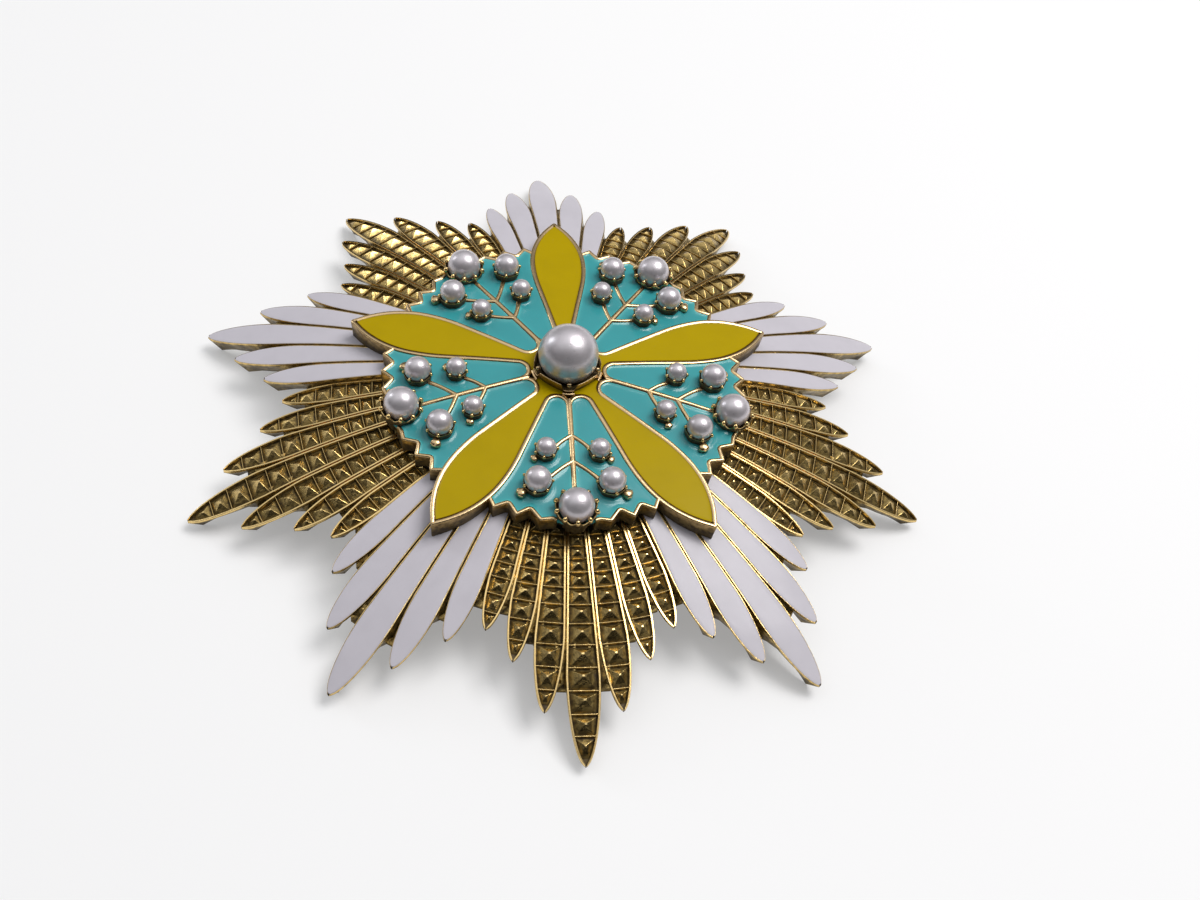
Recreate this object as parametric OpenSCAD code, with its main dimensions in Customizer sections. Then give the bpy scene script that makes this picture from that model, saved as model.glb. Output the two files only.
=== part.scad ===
// Breast star of an order: a domed gilt star of sixty feathers in ten rays, five of them enamelled
// white, and on it a gilt medallion of five yellow petals and five turquoise lobes set with pearls.
// It lies on the tips of its long feathers. The origin is under its centre, +Z is up, in millimetres.

/* [Star] */
// Radius from the centre to the tips of the ten long feathers
star_r = 45; // [40:1:55]
// Height of the domed face at the centre above its height at the long tips
dome_rise = 9.65; // [8:0.25:11]
// Thickness of the plate, from its hollow back to the rims of the feathers
plate_t = 1.5; // [1.3:0.1:2]
// How much the white feathers stand above the gold ones
white_rise = 0.45; // [0.3:0.05:0.6]
// Gap between the rims of two feathers
groove_w = 0.12; // [0.08:0.02:0.2]
// Draft of the feathers' flanks: widening on each side, in millimetres a millimetre down
flank_draft = 0.22; // [0.15:0.01:0.3]

/* [Gold feathers] */
// Width of the rim round a gold feather
gold_rim_w = 0.24; // [0.15:0.01:0.35]
// Depth of the sunk floor that the pyramids stand on
gold_floor_depth = 0.45; // [0.3:0.05:0.6]
// Longest row of the pyramids, measured along the feather
gem_len = 2.3; // [1.8:0.1:3]
// Distance of the outermost row line from the tip of a long feather
tip_gem_len = 2.8; // [2.4:0.1:3.4]
// Height of a pyramid for each millimetre of its half width
gem_steepness = 0.62; // [0.4:0.02:0.7]

/* [White feathers] */
// Width of the rim round a white feather
white_rim_w = 0.15; // [0.1:0.01:0.25]
// Depth of the recess that holds the white enamel
white_recess = 0.4; // [0.3:0.05:0.6]
// How far the white enamel stays below the rim
white_drop = 0.04; // [0:0.01:0.1]

/* [Medallion] */
// Height of the medallion's face at the centre above the star's domed face
medallion_rise = 1.55; // [1.5:0.05:2]
// Radius of the slight dome of the medallion's face
medallion_dome_r = 207; // [180:1:260]
// Gap between the white feathers and the medallion over them
medallion_gap = 0.1; // [0.05:0.01:0.2]
// Turn of the medallion against the rays, as it was soldered on
medallion_turn = -0.8; // [-2:0.1:2]
// Width of the rims round the enamel of the medallion
rim_w = 0.42; // [0.3:0.02:0.5]
// Depth of the floor under the enamel of the medallion
recess = 0.6; // [0.4:0.05:0.7]
// How far the yellow enamel stays below the rim
yellow_drop = 0.1; // [0.05:0.01:0.2]
// How far the turquoise enamel stays below the rim
turquoise_drop = 0.3; // [0.2:0.02:0.36]
// Gap left all round each filling of enamel
enamel_gap = 0.03; // [0.02:0.01:0.05]

/* [Petals] */
// Distance from the centre to a petal's point
petal_r = 26.5; // [25:0.5:28]
// Half the greatest width of a petal, with its rims
petal_half_w = 3.45; // [3:0.05:3.8]
// Length of the petal's pointed end, from its widest place to its point
petal_point_len = 8.35; // [7:0.05:9.5]
// Radius of the swell between the widest place and the straight side
petal_swell_r = 20; // [16:1:26]
// Angle between the straight side of a petal and its axis
petal_flare = 12.6; // [10:0.1:13]

/* [Lobes] */
// Radius of the zigzag edge at its points
zigzag_r = 21.5; // [20.8:0.1:22]
// Depth of the zigzag from point to notch
zigzag_depth = 1.2; // [0.8:0.05:1.4]
// Angle from point to point of the zigzag
zigzag_pitch = 7.05; // [6.8:0.05:7.2]
// Radius of the round inner end of the turquoise enamel
lobe_inner_r = 4.4; // [4.2:0.1:5]
// Width of a lobe's stem at its inner end
stem_w = 0.6; // [0.4:0.05:0.8]
// Width of a lobe's stem at the large pearl
stem_end_w = 0.36; // [0.25:0.01:0.45]
// Width of the side branches
branch_w = 0.38; // [0.25:0.01:0.45]
// Distance from the centre to the fork of the inner branches
inner_fork_r = 9.9; // [9:0.1:10.5]
// Distance from the centre to the fork of the outer branches
outer_fork_r = 13.4; // [13:0.1:14]

/* [Pearls] */
// Diameter of the pearl at the centre
centre_pearl_d = 6.9; // [6.5:0.1:7.1]
// Diameter of the five large pearls
large_pearl_d = 3.95; // [3.5:0.05:4.2]
// Diameter of the ten medium pearls
medium_pearl_d = 3; // [2.7:0.05:3.2]
// Diameter of the ten small pearls
small_pearl_d = 2.3; // [2:0.05:2.5]
// Height of the centre pearl's middle above the medallion's face
centre_pearl_h = 2.7; // [2.65:0.05:3]
// Height of a large pearl's middle above the medallion's face
large_pearl_h = 1.05; // [0.9:0.05:1.4]
// Height of a medium pearl's middle above the medallion's face
medium_pearl_h = 1.2; // [1:0.05:1.5]
// Height of a small pearl's middle above the medallion's face
small_pearl_h = 1.1; // [0.9:0.05:1.4]
// Distance from the centre to the large pearls
large_pearl_r = 20; // [19.5:0.1:20.4]
// Distance from the centre to the medium pearls
medium_pearl_r = 17.3; // [17:0.1:17.6]
// Angle of the medium pearls from the lobe's stem
medium_pearl_angle = 13.7; // [13.2:0.1:14.2]
// Distance from the centre to the small pearls
small_pearl_r = 12.9; // [12.5:0.1:13.3]
// Angle of the small pearls from the lobe's stem
small_pearl_angle = 13.5; // [13:0.1:14]
// Gap between a pearl and its cup
pearl_gap = 0.03; // [0.02:0.01:0.05]
// Wall of the cups round the pearls
cup_wall = 0.28; // [0.2:0.02:0.34]
// Gap round a cup, to the enamel and to the medallion that it is set in
cup_gap = 0.06; // [0.05:0.01:0.1]
// Diameter of the claws that hold the pearls
claw_d = 0.4; // [0.36:0.02:0.5]
// Length of the gilt leaf point beside a medium or a small pearl
leaf_len = 0.75; // [0.5:0.05:1]

/* [Brooch pin] */
// Diameter of the pin wire
pin_wire_d = 1.3; // [1:0.1:1.6]
// Distance between the hinge block and the catch block
pin_span = 44; // [36:1:48]
// Height of the pin wire's axis above the surface that the star lies on
pin_h = 2.6; // [2.2:0.1:3]
// Width of the hinge block and the catch block
pin_block_w = 4; // [3:0.5:5]
// Thickness of the hinge block and the catch block, along the pin
pin_block_t = 2.4; // [2:0.2:3]
// Gap between the blocks and the hollow back of the plate
pin_seat_gap = 0.15; // [0.12:0.01:0.2]

/* [Hidden] */
RAYS = 5;
FEATHER_PITCH = 6;
// Tip radius of the middle feather of a ray and of those beside it, as shares of star_r
GOLD_TIPS = [1, 0.889, 0.787, 0.73];
WHITE_TIPS = [1, 0.887, 0.787];
// Length of a feather's pointed end as a multiple of its half width, and how blunt its curve is
POINT_SLENDERNESS = 4.6;
POINT_POWER = 0.55;
// Places along the pointed end where its width is worked out, as shares of its length
POINT_STEPS = [0, 0.5, 0.85, 1];
TIP_HALF_W = 0.16;
// Length of a row of pyramids as a share of the width between the rims, where that is shorter
GEM_SHARE = 0.8;
// Radius where the feathers run out under the medallion
ROOT_R = 19.4;
// Each web in a crotch stops this far short of the shorter feather's tip, and has this length
WEB_BACK = 2;
WEB_LEN = 5;
WEB_DROP = 0.55;
CLAWS_SMALL = 6;
CLAWS_LARGE = 8;
// How far the claws stand out of a cup's wall, so that their inner sides stay clear of the pearl
claw_reach = pearl_gap + claw_d - cup_wall + 0.02;
// Gap between a cup's foot and the medallion's floor or the white feathers' tops
foot_gap = 0.03;
GOLD = "#b8893b";
WHITE = "#d6d1da";
YELLOW = "#b79e14";
TURQUOISE = "#46a9ab";
PEARL = "#cfc6ca";
eps = 0.01;
half_pitch = FEATHER_PITCH / 2;
ray_turn = 360 / RAYS;
// Both faces of the plate are parts of spheres of one radius, the back one plate_t lower
dome_r = (pow(star_r, 2) + pow(dome_rise, 2)) / (2 * dome_rise);
dome_centre_z = plate_t + dome_rise - dome_r;
medallion_top = plate_t + dome_rise + medallion_rise;
medallion_centre_z = medallion_top - medallion_dome_r;
medallion_lift = white_rise + medallion_gap;
cup_top_share = 0.3;
collar_r = centre_pearl_d / 2 + 0.6;
collar_foot_r = centre_pearl_d / 2 + 0.2;
collar_h = 1.2;
well_depth = 0.86;
slab_h = medallion_top + 1;

// Height of the star's face, which is the top of the gold rims, at a radius
function face_z(r) = dome_centre_z + sqrt(pow(dome_r, 2) - pow(r, 2));
function back_z(r) = face_z(r) - plate_t;
function medallion_z(r) = medallion_centre_z + sqrt(pow(medallion_dome_r, 2) - pow(r, 2));
function sum(v, i = 0) = i < len(v) ? v[i] + sum(v, i + 1) : 0;

// A feather is a narrow wedge from the centre with a pointed end. These give the length of that
// end and the half width of the feather at a radius, both for the feather whose tip is at tip_r.
function point_len(tip_r) =
    POINT_SLENDERNESS * (tip_r * tan(half_pitch) - groove_w / 2) / (1 + POINT_SLENDERNESS * tan(half_pitch));
function shoulder_r(tip_r) = tip_r - point_len(tip_r);
function wedge_half_w(r) = r * tan(half_pitch) - groove_w / 2;
function feather_half_w(r, tip_r) =
    r <= shoulder_r(tip_r) ? wedge_half_w(r)
    : max(TIP_HALF_W, wedge_half_w(shoulder_r(tip_r))
        * pow(max(0, 1 - pow((r - shoulder_r(tip_r)) / point_len(tip_r), 2)), POINT_POWER));

// Radii of the lines between the rows of pyramids, from the outermost inwards. They are the same
// circles on every gold feather.
function next_row_r(r) =
    r - min(gem_len, 2 * GEM_SHARE * (feather_half_w(r - gem_len / 2, star_r) - gold_rim_w));
function row_radii(r) = r < ROOT_R ? [] : concat([r], row_radii(next_row_r(r)));
ROWS = row_radii(star_r - tip_gem_len);
function rows_below(tip_r) =
    [for (i = [len(ROWS) - 1:-1:0]) if (ROWS[i] < tip_r - tip_gem_len * 0.6) ROWS[i]];

// Radii of the sections of a gold feather in its last, pointed cell and of a white feather
function tip_sections(tip_r, from_r) =
    [for (s = POINT_STEPS) let (r = shoulder_r(tip_r) + s * point_len(tip_r)) if (r > from_r + 0.4) r];
function white_sections(tip_r) =
    concat([ROOT_R, ROOT_R + (shoulder_r(tip_r) - ROOT_R) / 2], tip_sections(tip_r, ROOT_R));

// The draft of a feather's flanks. Every other feather has more of it, and a white one less of it
// towards its tip, so that no two flanks are mirror images and their edges cross cleanly.
function gold_draft(k) = flank_draft * (1 + 0.2 * (abs(k) % 2));
function white_draft(k, r) = gold_draft(k) - 0.3 * flank_draft * r / star_r;

// Eight points across a feather: flank foot, rim outside, rim inside, floor, and back again
function section(r, tip_r, draft, rise, rim, depth) =
    let (w = feather_half_w(r, tip_r),
         inner = max(0.3 * w, w - rim),
         top = face_z(r) + rise,
         foot = back_z(r) - 0.4,
         floor_z = top - depth,
         foot_w = w + draft * (top - foot))
    [[r, -foot_w, foot], [r, -w, top], [r, -inner, top], [r, -inner, floor_z],
     [r, inner, floor_z], [r, inner, top], [r, w, top], [r, foot_w, foot]];

// Faces between section i and section i + 1; the floor, between points 3 and 4, is left open
function side_faces(i) =
    [for (k = [0:7]) if (k != 3) let (a = 8 * i, m = (k + 1) % 8)
        each [[a + k, a + 8 + m, a + 8 + k], [a + k, a + m, a + 8 + m]]];
function floor_faces(i) = [[8 * i + 3, 8 * i + 12, 8 * i + 11], [8 * i + 3, 8 * i + 4, 8 * i + 12]];
// Faces of a pyramid whose base runs from section i to section j, with its apex at point p
function pyramid_faces(i, j, p) =
    concat([for (s = [i:j - 1]) each [[8 * s + 11, 8 * s + 3, p], [8 * s + 4, 8 * s + 12, p]]],
        [[8 * j + 4, 8 * j + 3, p], [8 * i + 3, 8 * i + 4, p]]);
CAP = [[0, 1, 2], [0, 2, 3], [0, 3, 4], [0, 4, 7], [7, 4, 5], [7, 5, 6]];
function cap_faces(n) = [for (t = CAP) each [[t[2], t[1], t[0]], [for (k = [0:2]) 8 * n + t[k]]]];

// The feather that is k places from the middle of its ray
module white_feather_body(k) {
    tip_r = star_r * WHITE_TIPS[abs(k)];
    radii = white_sections(tip_r);
    n = len(radii) - 1;
    polyhedron(
        points = [for (r = radii)
            each section(r, tip_r, white_draft(k, r), white_rise, white_rim_w, white_recess)],
        faces = concat([for (i = [0:n - 1]) each concat(side_faces(i), floor_faces(i))], cap_faces(n)));
}

module gold_feather_body(k) {
    tip_r = star_r * GOLD_TIPS[abs(k)];
    rows = rows_below(tip_r);
    last_row = rows[len(rows) - 1];
    tips = tip_sections(tip_r, last_row);
    radii = concat(rows, tips);
    n = len(radii) - 1;
    cells = len(rows);
    // Each pyramid spans one cell, and the last one spans all the sections of the pointed end
    first = [for (c = [0:cells - 1]) c];
    last = [for (c = [0:cells - 1]) c < cells - 1 ? c + 1 : n];
    apexes = [for (c = [0:cells - 1])
        let (r = (radii[first[c]] + (c < cells - 1 ? radii[last[c]] : tip_r - 0.8)) / 2,
             half = feather_half_w(r, tip_r) - gold_rim_w)
        [r, 0, face_z(r) - gold_floor_depth + gem_steepness * half]];
    polyhedron(
        points = concat([for (r = radii)
            each section(r, tip_r, gold_draft(k), 0, gold_rim_w, gold_floor_depth)], apexes),
        faces = concat([for (i = [0:n - 1]) each side_faces(i)],
            [for (c = [0:cells - 1]) each pyramid_faces(first[c], last[c], 8 * (n + 1) + c)],
            cap_faces(n)));
}

// A web of metal that fills the crotch between two feathers up to end_r
module crotch_web(end_r) {
    gap = end_r * tan(half_pitch);
    hull() {
        for (s = [0, 1])
            translate([end_r - s * WEB_LEN, 0, back_z(end_r - s * WEB_LEN) - 0.4])
                linear_extrude(plate_t + 0.4 - WEB_DROP)
                    square([eps, (1 - s) * gap + 0.2], center = true);
    }
}

// What lies below the hollow back of the plate and below the surface that the star lies on, which
// meet at the tips of the long feathers
module back_hollow() {
    rings = 4;
    rotate_extrude($fn = 360 / FEATHER_PITCH)
        polygon(concat([[0, -plate_t], [star_r + plate_t, -plate_t], [star_r + plate_t, 0]],
            [for (k = [rings:-1:0]) let (r = star_r * k / rings) [r, back_z(r)]]));
}

// The plain raised middle that the medallion is soldered to. It reaches over the roots of all the
// feathers, the gold ones of which begin with their innermost row.
boss_r = ROWS[len(ROWS) - 1] + 0.3;
module boss() {
    rings = 4;
    rotate_extrude($fn = 360 / FEATHER_PITCH)
        polygon(concat([[0, back_z(0) - 0.4], [boss_r, back_z(boss_r) - 0.4]],
            [for (k = [rings:-1:0]) let (r = boss_r * k / rings) [r, face_z(r) + white_rise + 0.05]]));
}

module star_plate() color(GOLD) difference() {
    union() {
        boss();
        for (ray = [0:RAYS - 1]) {
            rotate(-90 + ray * ray_turn) {
                for (k = [-3:3]) rotate(k * FEATHER_PITCH) gold_feather_body(k);
                for (k = [1:3], side = [-1, 1])
                    rotate(side * (k - 0.5) * FEATHER_PITCH) crotch_web(star_r * GOLD_TIPS[k] - WEB_BACK);
                for (side = [-1, 1])
                    rotate(side * 3.5 * FEATHER_PITCH) crotch_web(star_r * GOLD_TIPS[3] - WEB_BACK);
            }
            rotate(90 + ray * ray_turn) {
                for (k = [-2:2]) rotate(k * FEATHER_PITCH) white_feather_body(k);
                for (k = [1:2], side = [-1, 1])
                    rotate(side * (k - 0.5) * FEATHER_PITCH) crotch_web(star_r * WHITE_TIPS[k] - WEB_BACK);
            }
        }
    }
    back_hollow();
}

// A ball whose top is the star's domed face moved up by offset_z, and one whose top is the
// medallion's face sunk by drop
module face_ball(offset_z) translate([0, 0, dome_centre_z + offset_z]) sphere(dome_r, $fn = 200);
module medallion_ball(drop) translate([0, 0, medallion_centre_z]) sphere(medallion_dome_r - drop, $fn = 200);

// Outline of the white enamel in one feather, which begins where the boss ends
module white_filling_2d(tip_r) {
    radii = [for (r = white_sections(tip_r)) max(r, boss_r + enamel_gap)];
    inset = white_rim_w + enamel_gap;
    side = [for (r = radii) if (r < tip_r - 0.3) [r, max(0.1, feather_half_w(r, tip_r) - inset)]];
    polygon(concat(side, [[tip_r - 2 * inset, 0]],
        [for (k = [len(side) - 1:-1:0]) [side[k][0], -side[k][1]]]));
}

module white_enamel(ray) color(WHITE)
    rotate(90 + ray * ray_turn)
        difference() {
            intersection() {
                union() for (k = [-2:2]) rotate(k * FEATHER_PITCH)
                    linear_extrude(slab_h) white_filling_2d(star_r * WHITE_TIPS[abs(k)]);
                face_ball(white_rise - white_drop);
            }
            face_ball(white_rise - white_recess + enamel_gap);
        }

// One side of a petal as points from its root to its point: straight, swell, pointed end
petal_wide_r = petal_r - petal_point_len;
petal_point_r = (pow(petal_point_len, 2) + pow(petal_half_w, 2)) / (2 * petal_half_w);
petal_point_angle = asin(petal_point_len / petal_point_r);
petal_side = let (n = 4, straight_r = petal_wide_r - petal_swell_r * sin(petal_flare),
                  straight_w = petal_half_w - petal_swell_r * (1 - cos(petal_flare)),
                  root_r = 1)
    concat([[root_r, max(0.1, straight_w - (straight_r - root_r) * tan(petal_flare))]],
        [for (k = [0:n - 1]) let (a = petal_flare * (1 - k / n))
            [petal_wide_r - petal_swell_r * sin(a), petal_half_w - petal_swell_r * (1 - cos(a))]],
        [for (k = [0:2 * n - 1]) let (a = petal_point_angle * k / (2 * n))
            [petal_wide_r + petal_point_r * sin(a), petal_half_w - petal_point_r * (1 - cos(a))]]);

module petal_2d()
    polygon(concat(petal_side, [[petal_r, 0]],
        [for (k = [len(petal_side) - 1:-1:0]) [petal_side[k][0], -petal_side[k][1]]]));

module petals_2d() for (ray = [0:RAYS - 1]) rotate(90 + ray * ray_turn) petal_2d();

// A lobe with its zigzag edge, as a wedge from the centre whose sides the petals cover
module lobe_2d() {
    teeth = 4;
    notch_r = zigzag_r - zigzag_depth;
    edge = [for (k = [-2 * teeth:2 * teeth]) let (a = k * zigzag_pitch / 2)
        (k % 2 == 0 ? notch_r : zigzag_r) * [cos(a), sin(a)]];
    polygon(concat([[0, 0]], edge));
}

// Joins the shapes given as its children into one clean outline
module joined_2d() offset(delta = eps) offset(delta = -eps) union() children();

module outline_2d() joined_2d() {
    circle(lobe_inner_r, $fn = 48);
    petals_2d();
    for (ray = [0:RAYS - 1]) rotate(-90 + ray * ray_turn) lobe_2d();
}

// The pearls of a lobe that lies along +X: size, place and height of each kind
function at(r, a) = [r * cos(a), r * sin(a)];
large_at = at(large_pearl_r, 0);
medium_at = at(medium_pearl_r, medium_pearl_angle);
small_at = at(small_pearl_r, small_pearl_angle);
function mirrored(p, side) = [p[0], side * p[1]];

module branch_2d(fork_r, target) {
    fork = [fork_r, 0];
    reach = target - fork;
    translate(fork) rotate(atan2(reach[1], reach[0])) translate([0, -branch_w / 2])
        square([norm(reach), branch_w]);
}

module leaf_2d(fork_r, target, pearl_d) {
    reach = target - [fork_r, 0];
    start = pearl_d / 2;
    // The leaf points away from the fork, turned a little to the lobe's side
    translate(target) rotate(atan2(reach[1], reach[0]) + 20)
        polygon([[start, -pearl_d / 4], [start + cup_wall, -pearl_d / 6], [start + cup_wall + leaf_len, 0],
            [start + cup_wall, pearl_d / 6], [start, pearl_d / 4]]);
}

// The raised stem, branches and leaf points of a lobe
module sprig_2d() {
    polygon([[lobe_inner_r - 1, -stem_w / 2], [large_pearl_r, -stem_end_w / 2],
        [large_pearl_r, stem_end_w / 2], [lobe_inner_r - 1, stem_w / 2]]);
    for (side = [0, 1]) mirror([0, side]) {
        branch_2d(inner_fork_r, small_at);
        branch_2d(outer_fork_r, medium_at);
        leaf_2d(inner_fork_r, small_at, small_pearl_d);
        leaf_2d(outer_fork_r, medium_at, medium_pearl_d);
    }
}

// The ground that the cups of a lobe cover, with the gap round them. A cup that leans with the
// face has its foot nearer to the centre than its pearl.
function foot_at(place, pearl_h) = place * (1 - (pearl_h + recess / 2) / medallion_dome_r);
module cups_2d() {
    margin = cup_wall + claw_reach + cup_gap;
    translate(large_at) circle(large_pearl_d / 2 + margin, $fn = 32);
    for (side = [0, 1]) mirror([0, side]) {
        translate(foot_at(medium_at, medium_pearl_h)) circle(medium_pearl_d / 2 + margin, $fn = 32);
        translate(foot_at(small_at, small_pearl_h)) circle(small_pearl_d / 2 + margin, $fn = 32);
    }
}

// The floor of a lobe's turquoise enamel, before the sprig is taken out of it
module lobe_floor_2d() {
    round_r = 0.3;
    offset(r = round_r, $fn = 24) offset(delta = -round_r - rim_w) difference() {
        lobe_2d();
        for (side = [-1, 1]) rotate(side * ray_turn / 2) offset(delta = -rim_w) petal_2d();
        circle(lobe_inner_r - rim_w, $fn = 48);
    }
}

module turquoise_cell_2d() joined_2d() difference() {
    lobe_floor_2d();
    difference() {
        sprig_2d();
        cups_2d();
    }
}

module yellow_cell_2d() joined_2d() difference() {
    offset(delta = -rim_w) petal_2d();
    circle(collar_r + 0.1, $fn = 48);
}

// What is sunk into the face of the medallion for the enamel
module recesses() difference() {
    linear_extrude(slab_h) joined_2d() for (ray = [0:RAYS - 1]) {
        rotate(-90 + ray * ray_turn) turquoise_cell_2d();
        rotate(90 + ray * ray_turn) yellow_cell_2d();
    }
    medallion_ball(recess);
}

module medallion_plate() difference() {
    intersection() {
        linear_extrude(slab_h) outline_2d();
        medallion_ball(0);
    }
    recesses();
    face_ball(medallion_lift);
    // The collar fills its well, and the cups of the large pearls stand in holes at the edge
    translate([0, 0, medallion_top - well_depth]) cylinder(r = collar_foot_r - 0.4, h = slab_h, $fn = 48);
    for (ray = [0:RAYS - 1]) rotate(-90 + ray * ray_turn) at_pearls(large_at, 0)
        cylinder(r = large_pearl_d / 2 + cup_wall + claw_reach + cup_gap, h = slab_h, $fn = 48);
}

large_z = medallion_z(large_pearl_r) + large_pearl_h;
medium_z = medallion_z(medium_pearl_r) + medium_pearl_h;
small_z = medallion_z(small_pearl_r) + small_pearl_h;
module at_pearls(place, z) translate([place[0], place[1], z]) children();

// A round cup with its claws, hollowed for its pearl. The pearl's middle is at the origin and the
// foot of the cup is foot_h under it.
module cup(pearl_d, foot_h, claws) {
    seat_r = pearl_d / 2 + pearl_gap;
    seat_steps = 4;
    top_angle = asin(cup_top_share);
    // The seat is a chain of cones that the pearl touches nowhere
    seat = [for (k = [0:seat_steps]) let (a = top_angle + (90 - top_angle) * k / seat_steps)
        [seat_r * cos(a), -seat_r * sin(a)] / cos((90 - top_angle) / seat_steps / 2)];
    wall_r = pearl_d / 2 + cup_wall;
    rotate_extrude($fn = 48)
        polygon(concat(seat, [[0, -foot_h], [wall_r, -foot_h], [wall_r, seat[0][1]]]));
    for (k = [0:claws - 1]) rotate((k + 0.5) * 360 / claws)
        translate([wall_r + claw_reach - claw_d / 2, 0, -foot_h]) cylinder(d = claw_d, h = foot_h, $fn = 16);
}

// A cup set square on the medallion's floor, for a pearl whose middle is at this place and height
module floor_cup(place, z, pearl_d) {
    from_centre = [norm(place), z - medallion_centre_z];
    at_pearls(place, z) rotate([0, atan2(from_centre[0], from_centre[1]), atan2(place[1], place[0])])
        cup(pearl_d, norm(from_centre) - medallion_dome_r + recess - foot_gap, CLAWS_SMALL);
}

// The cups of a lobe: the large one stands on the rays, the others on the floor under the enamel
module lobe_cups(ray) color(GOLD) rotate(medallion_turn - 90 + ray * ray_turn) {
    difference() {
        at_pearls(large_at, large_z) cup(large_pearl_d, large_z - face_z(large_pearl_r), CLAWS_LARGE);
        face_ball(medallion_lift);
    }
    for (side = [0, 1]) mirror([0, side]) {
        floor_cup(medium_at, medium_z, medium_pearl_d);
        floor_cup(small_at, small_z, small_pearl_d);
    }
}

// The flared collar round the centre pearl
module collar() difference() {
    rotate_extrude($fn = 96) polygon([[0, medallion_top - well_depth - 0.06],
        [collar_foot_r, medallion_top - well_depth - 0.06], [collar_foot_r, medallion_top],
        [collar_r, medallion_top + collar_h], [collar_r - 0.2, medallion_top + collar_h],
        [collar_foot_r - 0.3, medallion_top + 0.1], [0, medallion_top + 0.1]]);
    translate([0, 0, medallion_top + centre_pearl_h]) sphere(centre_pearl_d / 2 + pearl_gap, $fn = 96);
}

module medallion() color(GOLD) rotate(medallion_turn) {
    medallion_plate();
    collar();
}

// A filling of enamel over the outline given as its child, between the floor and drop below the rim
module filling(drop) difference() {
    intersection() {
        linear_extrude(slab_h) offset(delta = -enamel_gap) children();
        medallion_ball(drop);
    }
    medallion_ball(recess - enamel_gap);
}

module yellow_enamel(ray) color(YELLOW)
    rotate(medallion_turn + 90 + ray * ray_turn) filling(yellow_drop) yellow_cell_2d();

// Half a lobe's turquoise enamel: side 1 is to the left of the stem, seen from the centre
module turquoise_enamel(ray, side) color(TURQUOISE)
    rotate(medallion_turn - 90 + ray * ray_turn) filling(turquoise_drop) intersection() {
        difference() {
            turquoise_cell_2d();
            cups_2d();
        }
        translate([0, side > 0 ? 0 : -zigzag_r]) square([zigzag_r, zigzag_r]);
    }

module pearl(ray, place, z, d) color(PEARL)
    rotate(medallion_turn - 90 + ray * ray_turn) at_pearls(place, z) sphere(d / 2, $fn = 64);

// Pin wire with the blocks that carry it, in one piece, in the hollow behind the plate
module brooch_pin() color(GOLD) {
    half_span = pin_span / 2;
    overhang = 3;
    translate([0, half_span + overhang, pin_h]) rotate([90, 0, 0])
        cylinder(d = pin_wire_d, h = pin_span + 2 * overhang, $fn = 32);
    intersection() {
        union() for (side = [-1, 1])
            translate([-pin_block_w / 2, side * half_span - pin_block_t / 2, pin_h - pin_wire_d])
                cube([pin_block_w, pin_block_t, slab_h]);
        face_ball(-plate_t - pin_seat_gap);
    }
}

star_plate();
medallion();
brooch_pin();
pearl(0, [0, 0], medallion_top + centre_pearl_h, centre_pearl_d);  // pearl_centre
for (ray = [1:RAYS]) {
    white_enamel(ray);
    yellow_enamel(ray);
    lobe_cups(ray);
    pearl(ray, large_at, large_z, large_pearl_d);
}
for (k = [1:2 * RAYS]) {
    ray = ceil(k / 2);
    side = k % 2 == 0 ? 1 : -1;
    turquoise_enamel(ray, side);
    pearl(ray, mirrored(medium_at, side), medium_z, medium_pearl_d);
    pearl(ray, mirrored(small_at, side), small_z, small_pearl_d);
}
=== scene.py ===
"""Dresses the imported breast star: gilt rays with their rows of pyramids, enamel fillings, wires,
pearls in clawed cups, and a studio to show it in.

The helper functions work in millimetres, and every mesh is made in metres in the frame of the
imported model: +Z up, the star's axis at X = Y = 0, and its ray tips on Z = 0.
"""

import math

import bmesh
import bpy
import numpy as np
from bpy.props import FloatProperty, FloatVectorProperty, IntProperty, PointerProperty
from mathutils import Matrix, Vector


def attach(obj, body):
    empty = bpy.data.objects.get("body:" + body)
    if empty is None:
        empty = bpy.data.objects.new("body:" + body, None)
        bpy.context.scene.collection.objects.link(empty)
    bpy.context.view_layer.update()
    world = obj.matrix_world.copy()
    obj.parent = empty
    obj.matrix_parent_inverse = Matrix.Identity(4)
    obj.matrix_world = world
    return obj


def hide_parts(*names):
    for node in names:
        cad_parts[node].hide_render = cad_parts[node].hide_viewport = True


bl_info = {
    "name": "Breast Star",
    "version": (1, 0, 0),
    "blender": (4, 5, 0),
    "location": "View3D > Sidebar > Star",
    "description": "Builds the gilt, enamelled and pearl-set pieces of a breast star",
    "category": "Add Mesh",
}

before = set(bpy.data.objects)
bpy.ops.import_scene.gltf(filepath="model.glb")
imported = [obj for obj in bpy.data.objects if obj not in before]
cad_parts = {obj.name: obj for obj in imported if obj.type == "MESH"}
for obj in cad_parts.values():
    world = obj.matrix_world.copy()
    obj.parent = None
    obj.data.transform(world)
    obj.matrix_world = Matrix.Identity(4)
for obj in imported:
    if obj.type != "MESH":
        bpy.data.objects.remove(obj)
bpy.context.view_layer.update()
MM = 0.001

# The star's plan: five gold rays of seven feathers, the first of them towards the viewer, and five
# white rays of five, the first away. The tips of a ray's feathers, from its middle outwards, are
# shares of the star's radius.
RAYS = 5
RAY_TURN = math.radians(72)
FEATHER_PITCH = math.radians(6)
GOLD_START = math.radians(-90)
WHITE_START = math.radians(90)
GOLD_TIPS = (1, 0.889, 0.787, 0.73)
WHITE_TIPS = (1, 0.887, 0.787)

# A feather: it leaves the plain middle of the plate at ROOT_R. Its pointed end is POINT_SLENDERNESS
# times as long as the half width of its base, and a white rim thins out there.
ROOT_R = 19.4
TIP_HALF_W = 0.16
POINT_SLENDERNESS = 4.6
POINT_POWER = 0.55
POINT_STEPS = 12
POINT_THINNING = 0.6

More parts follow.
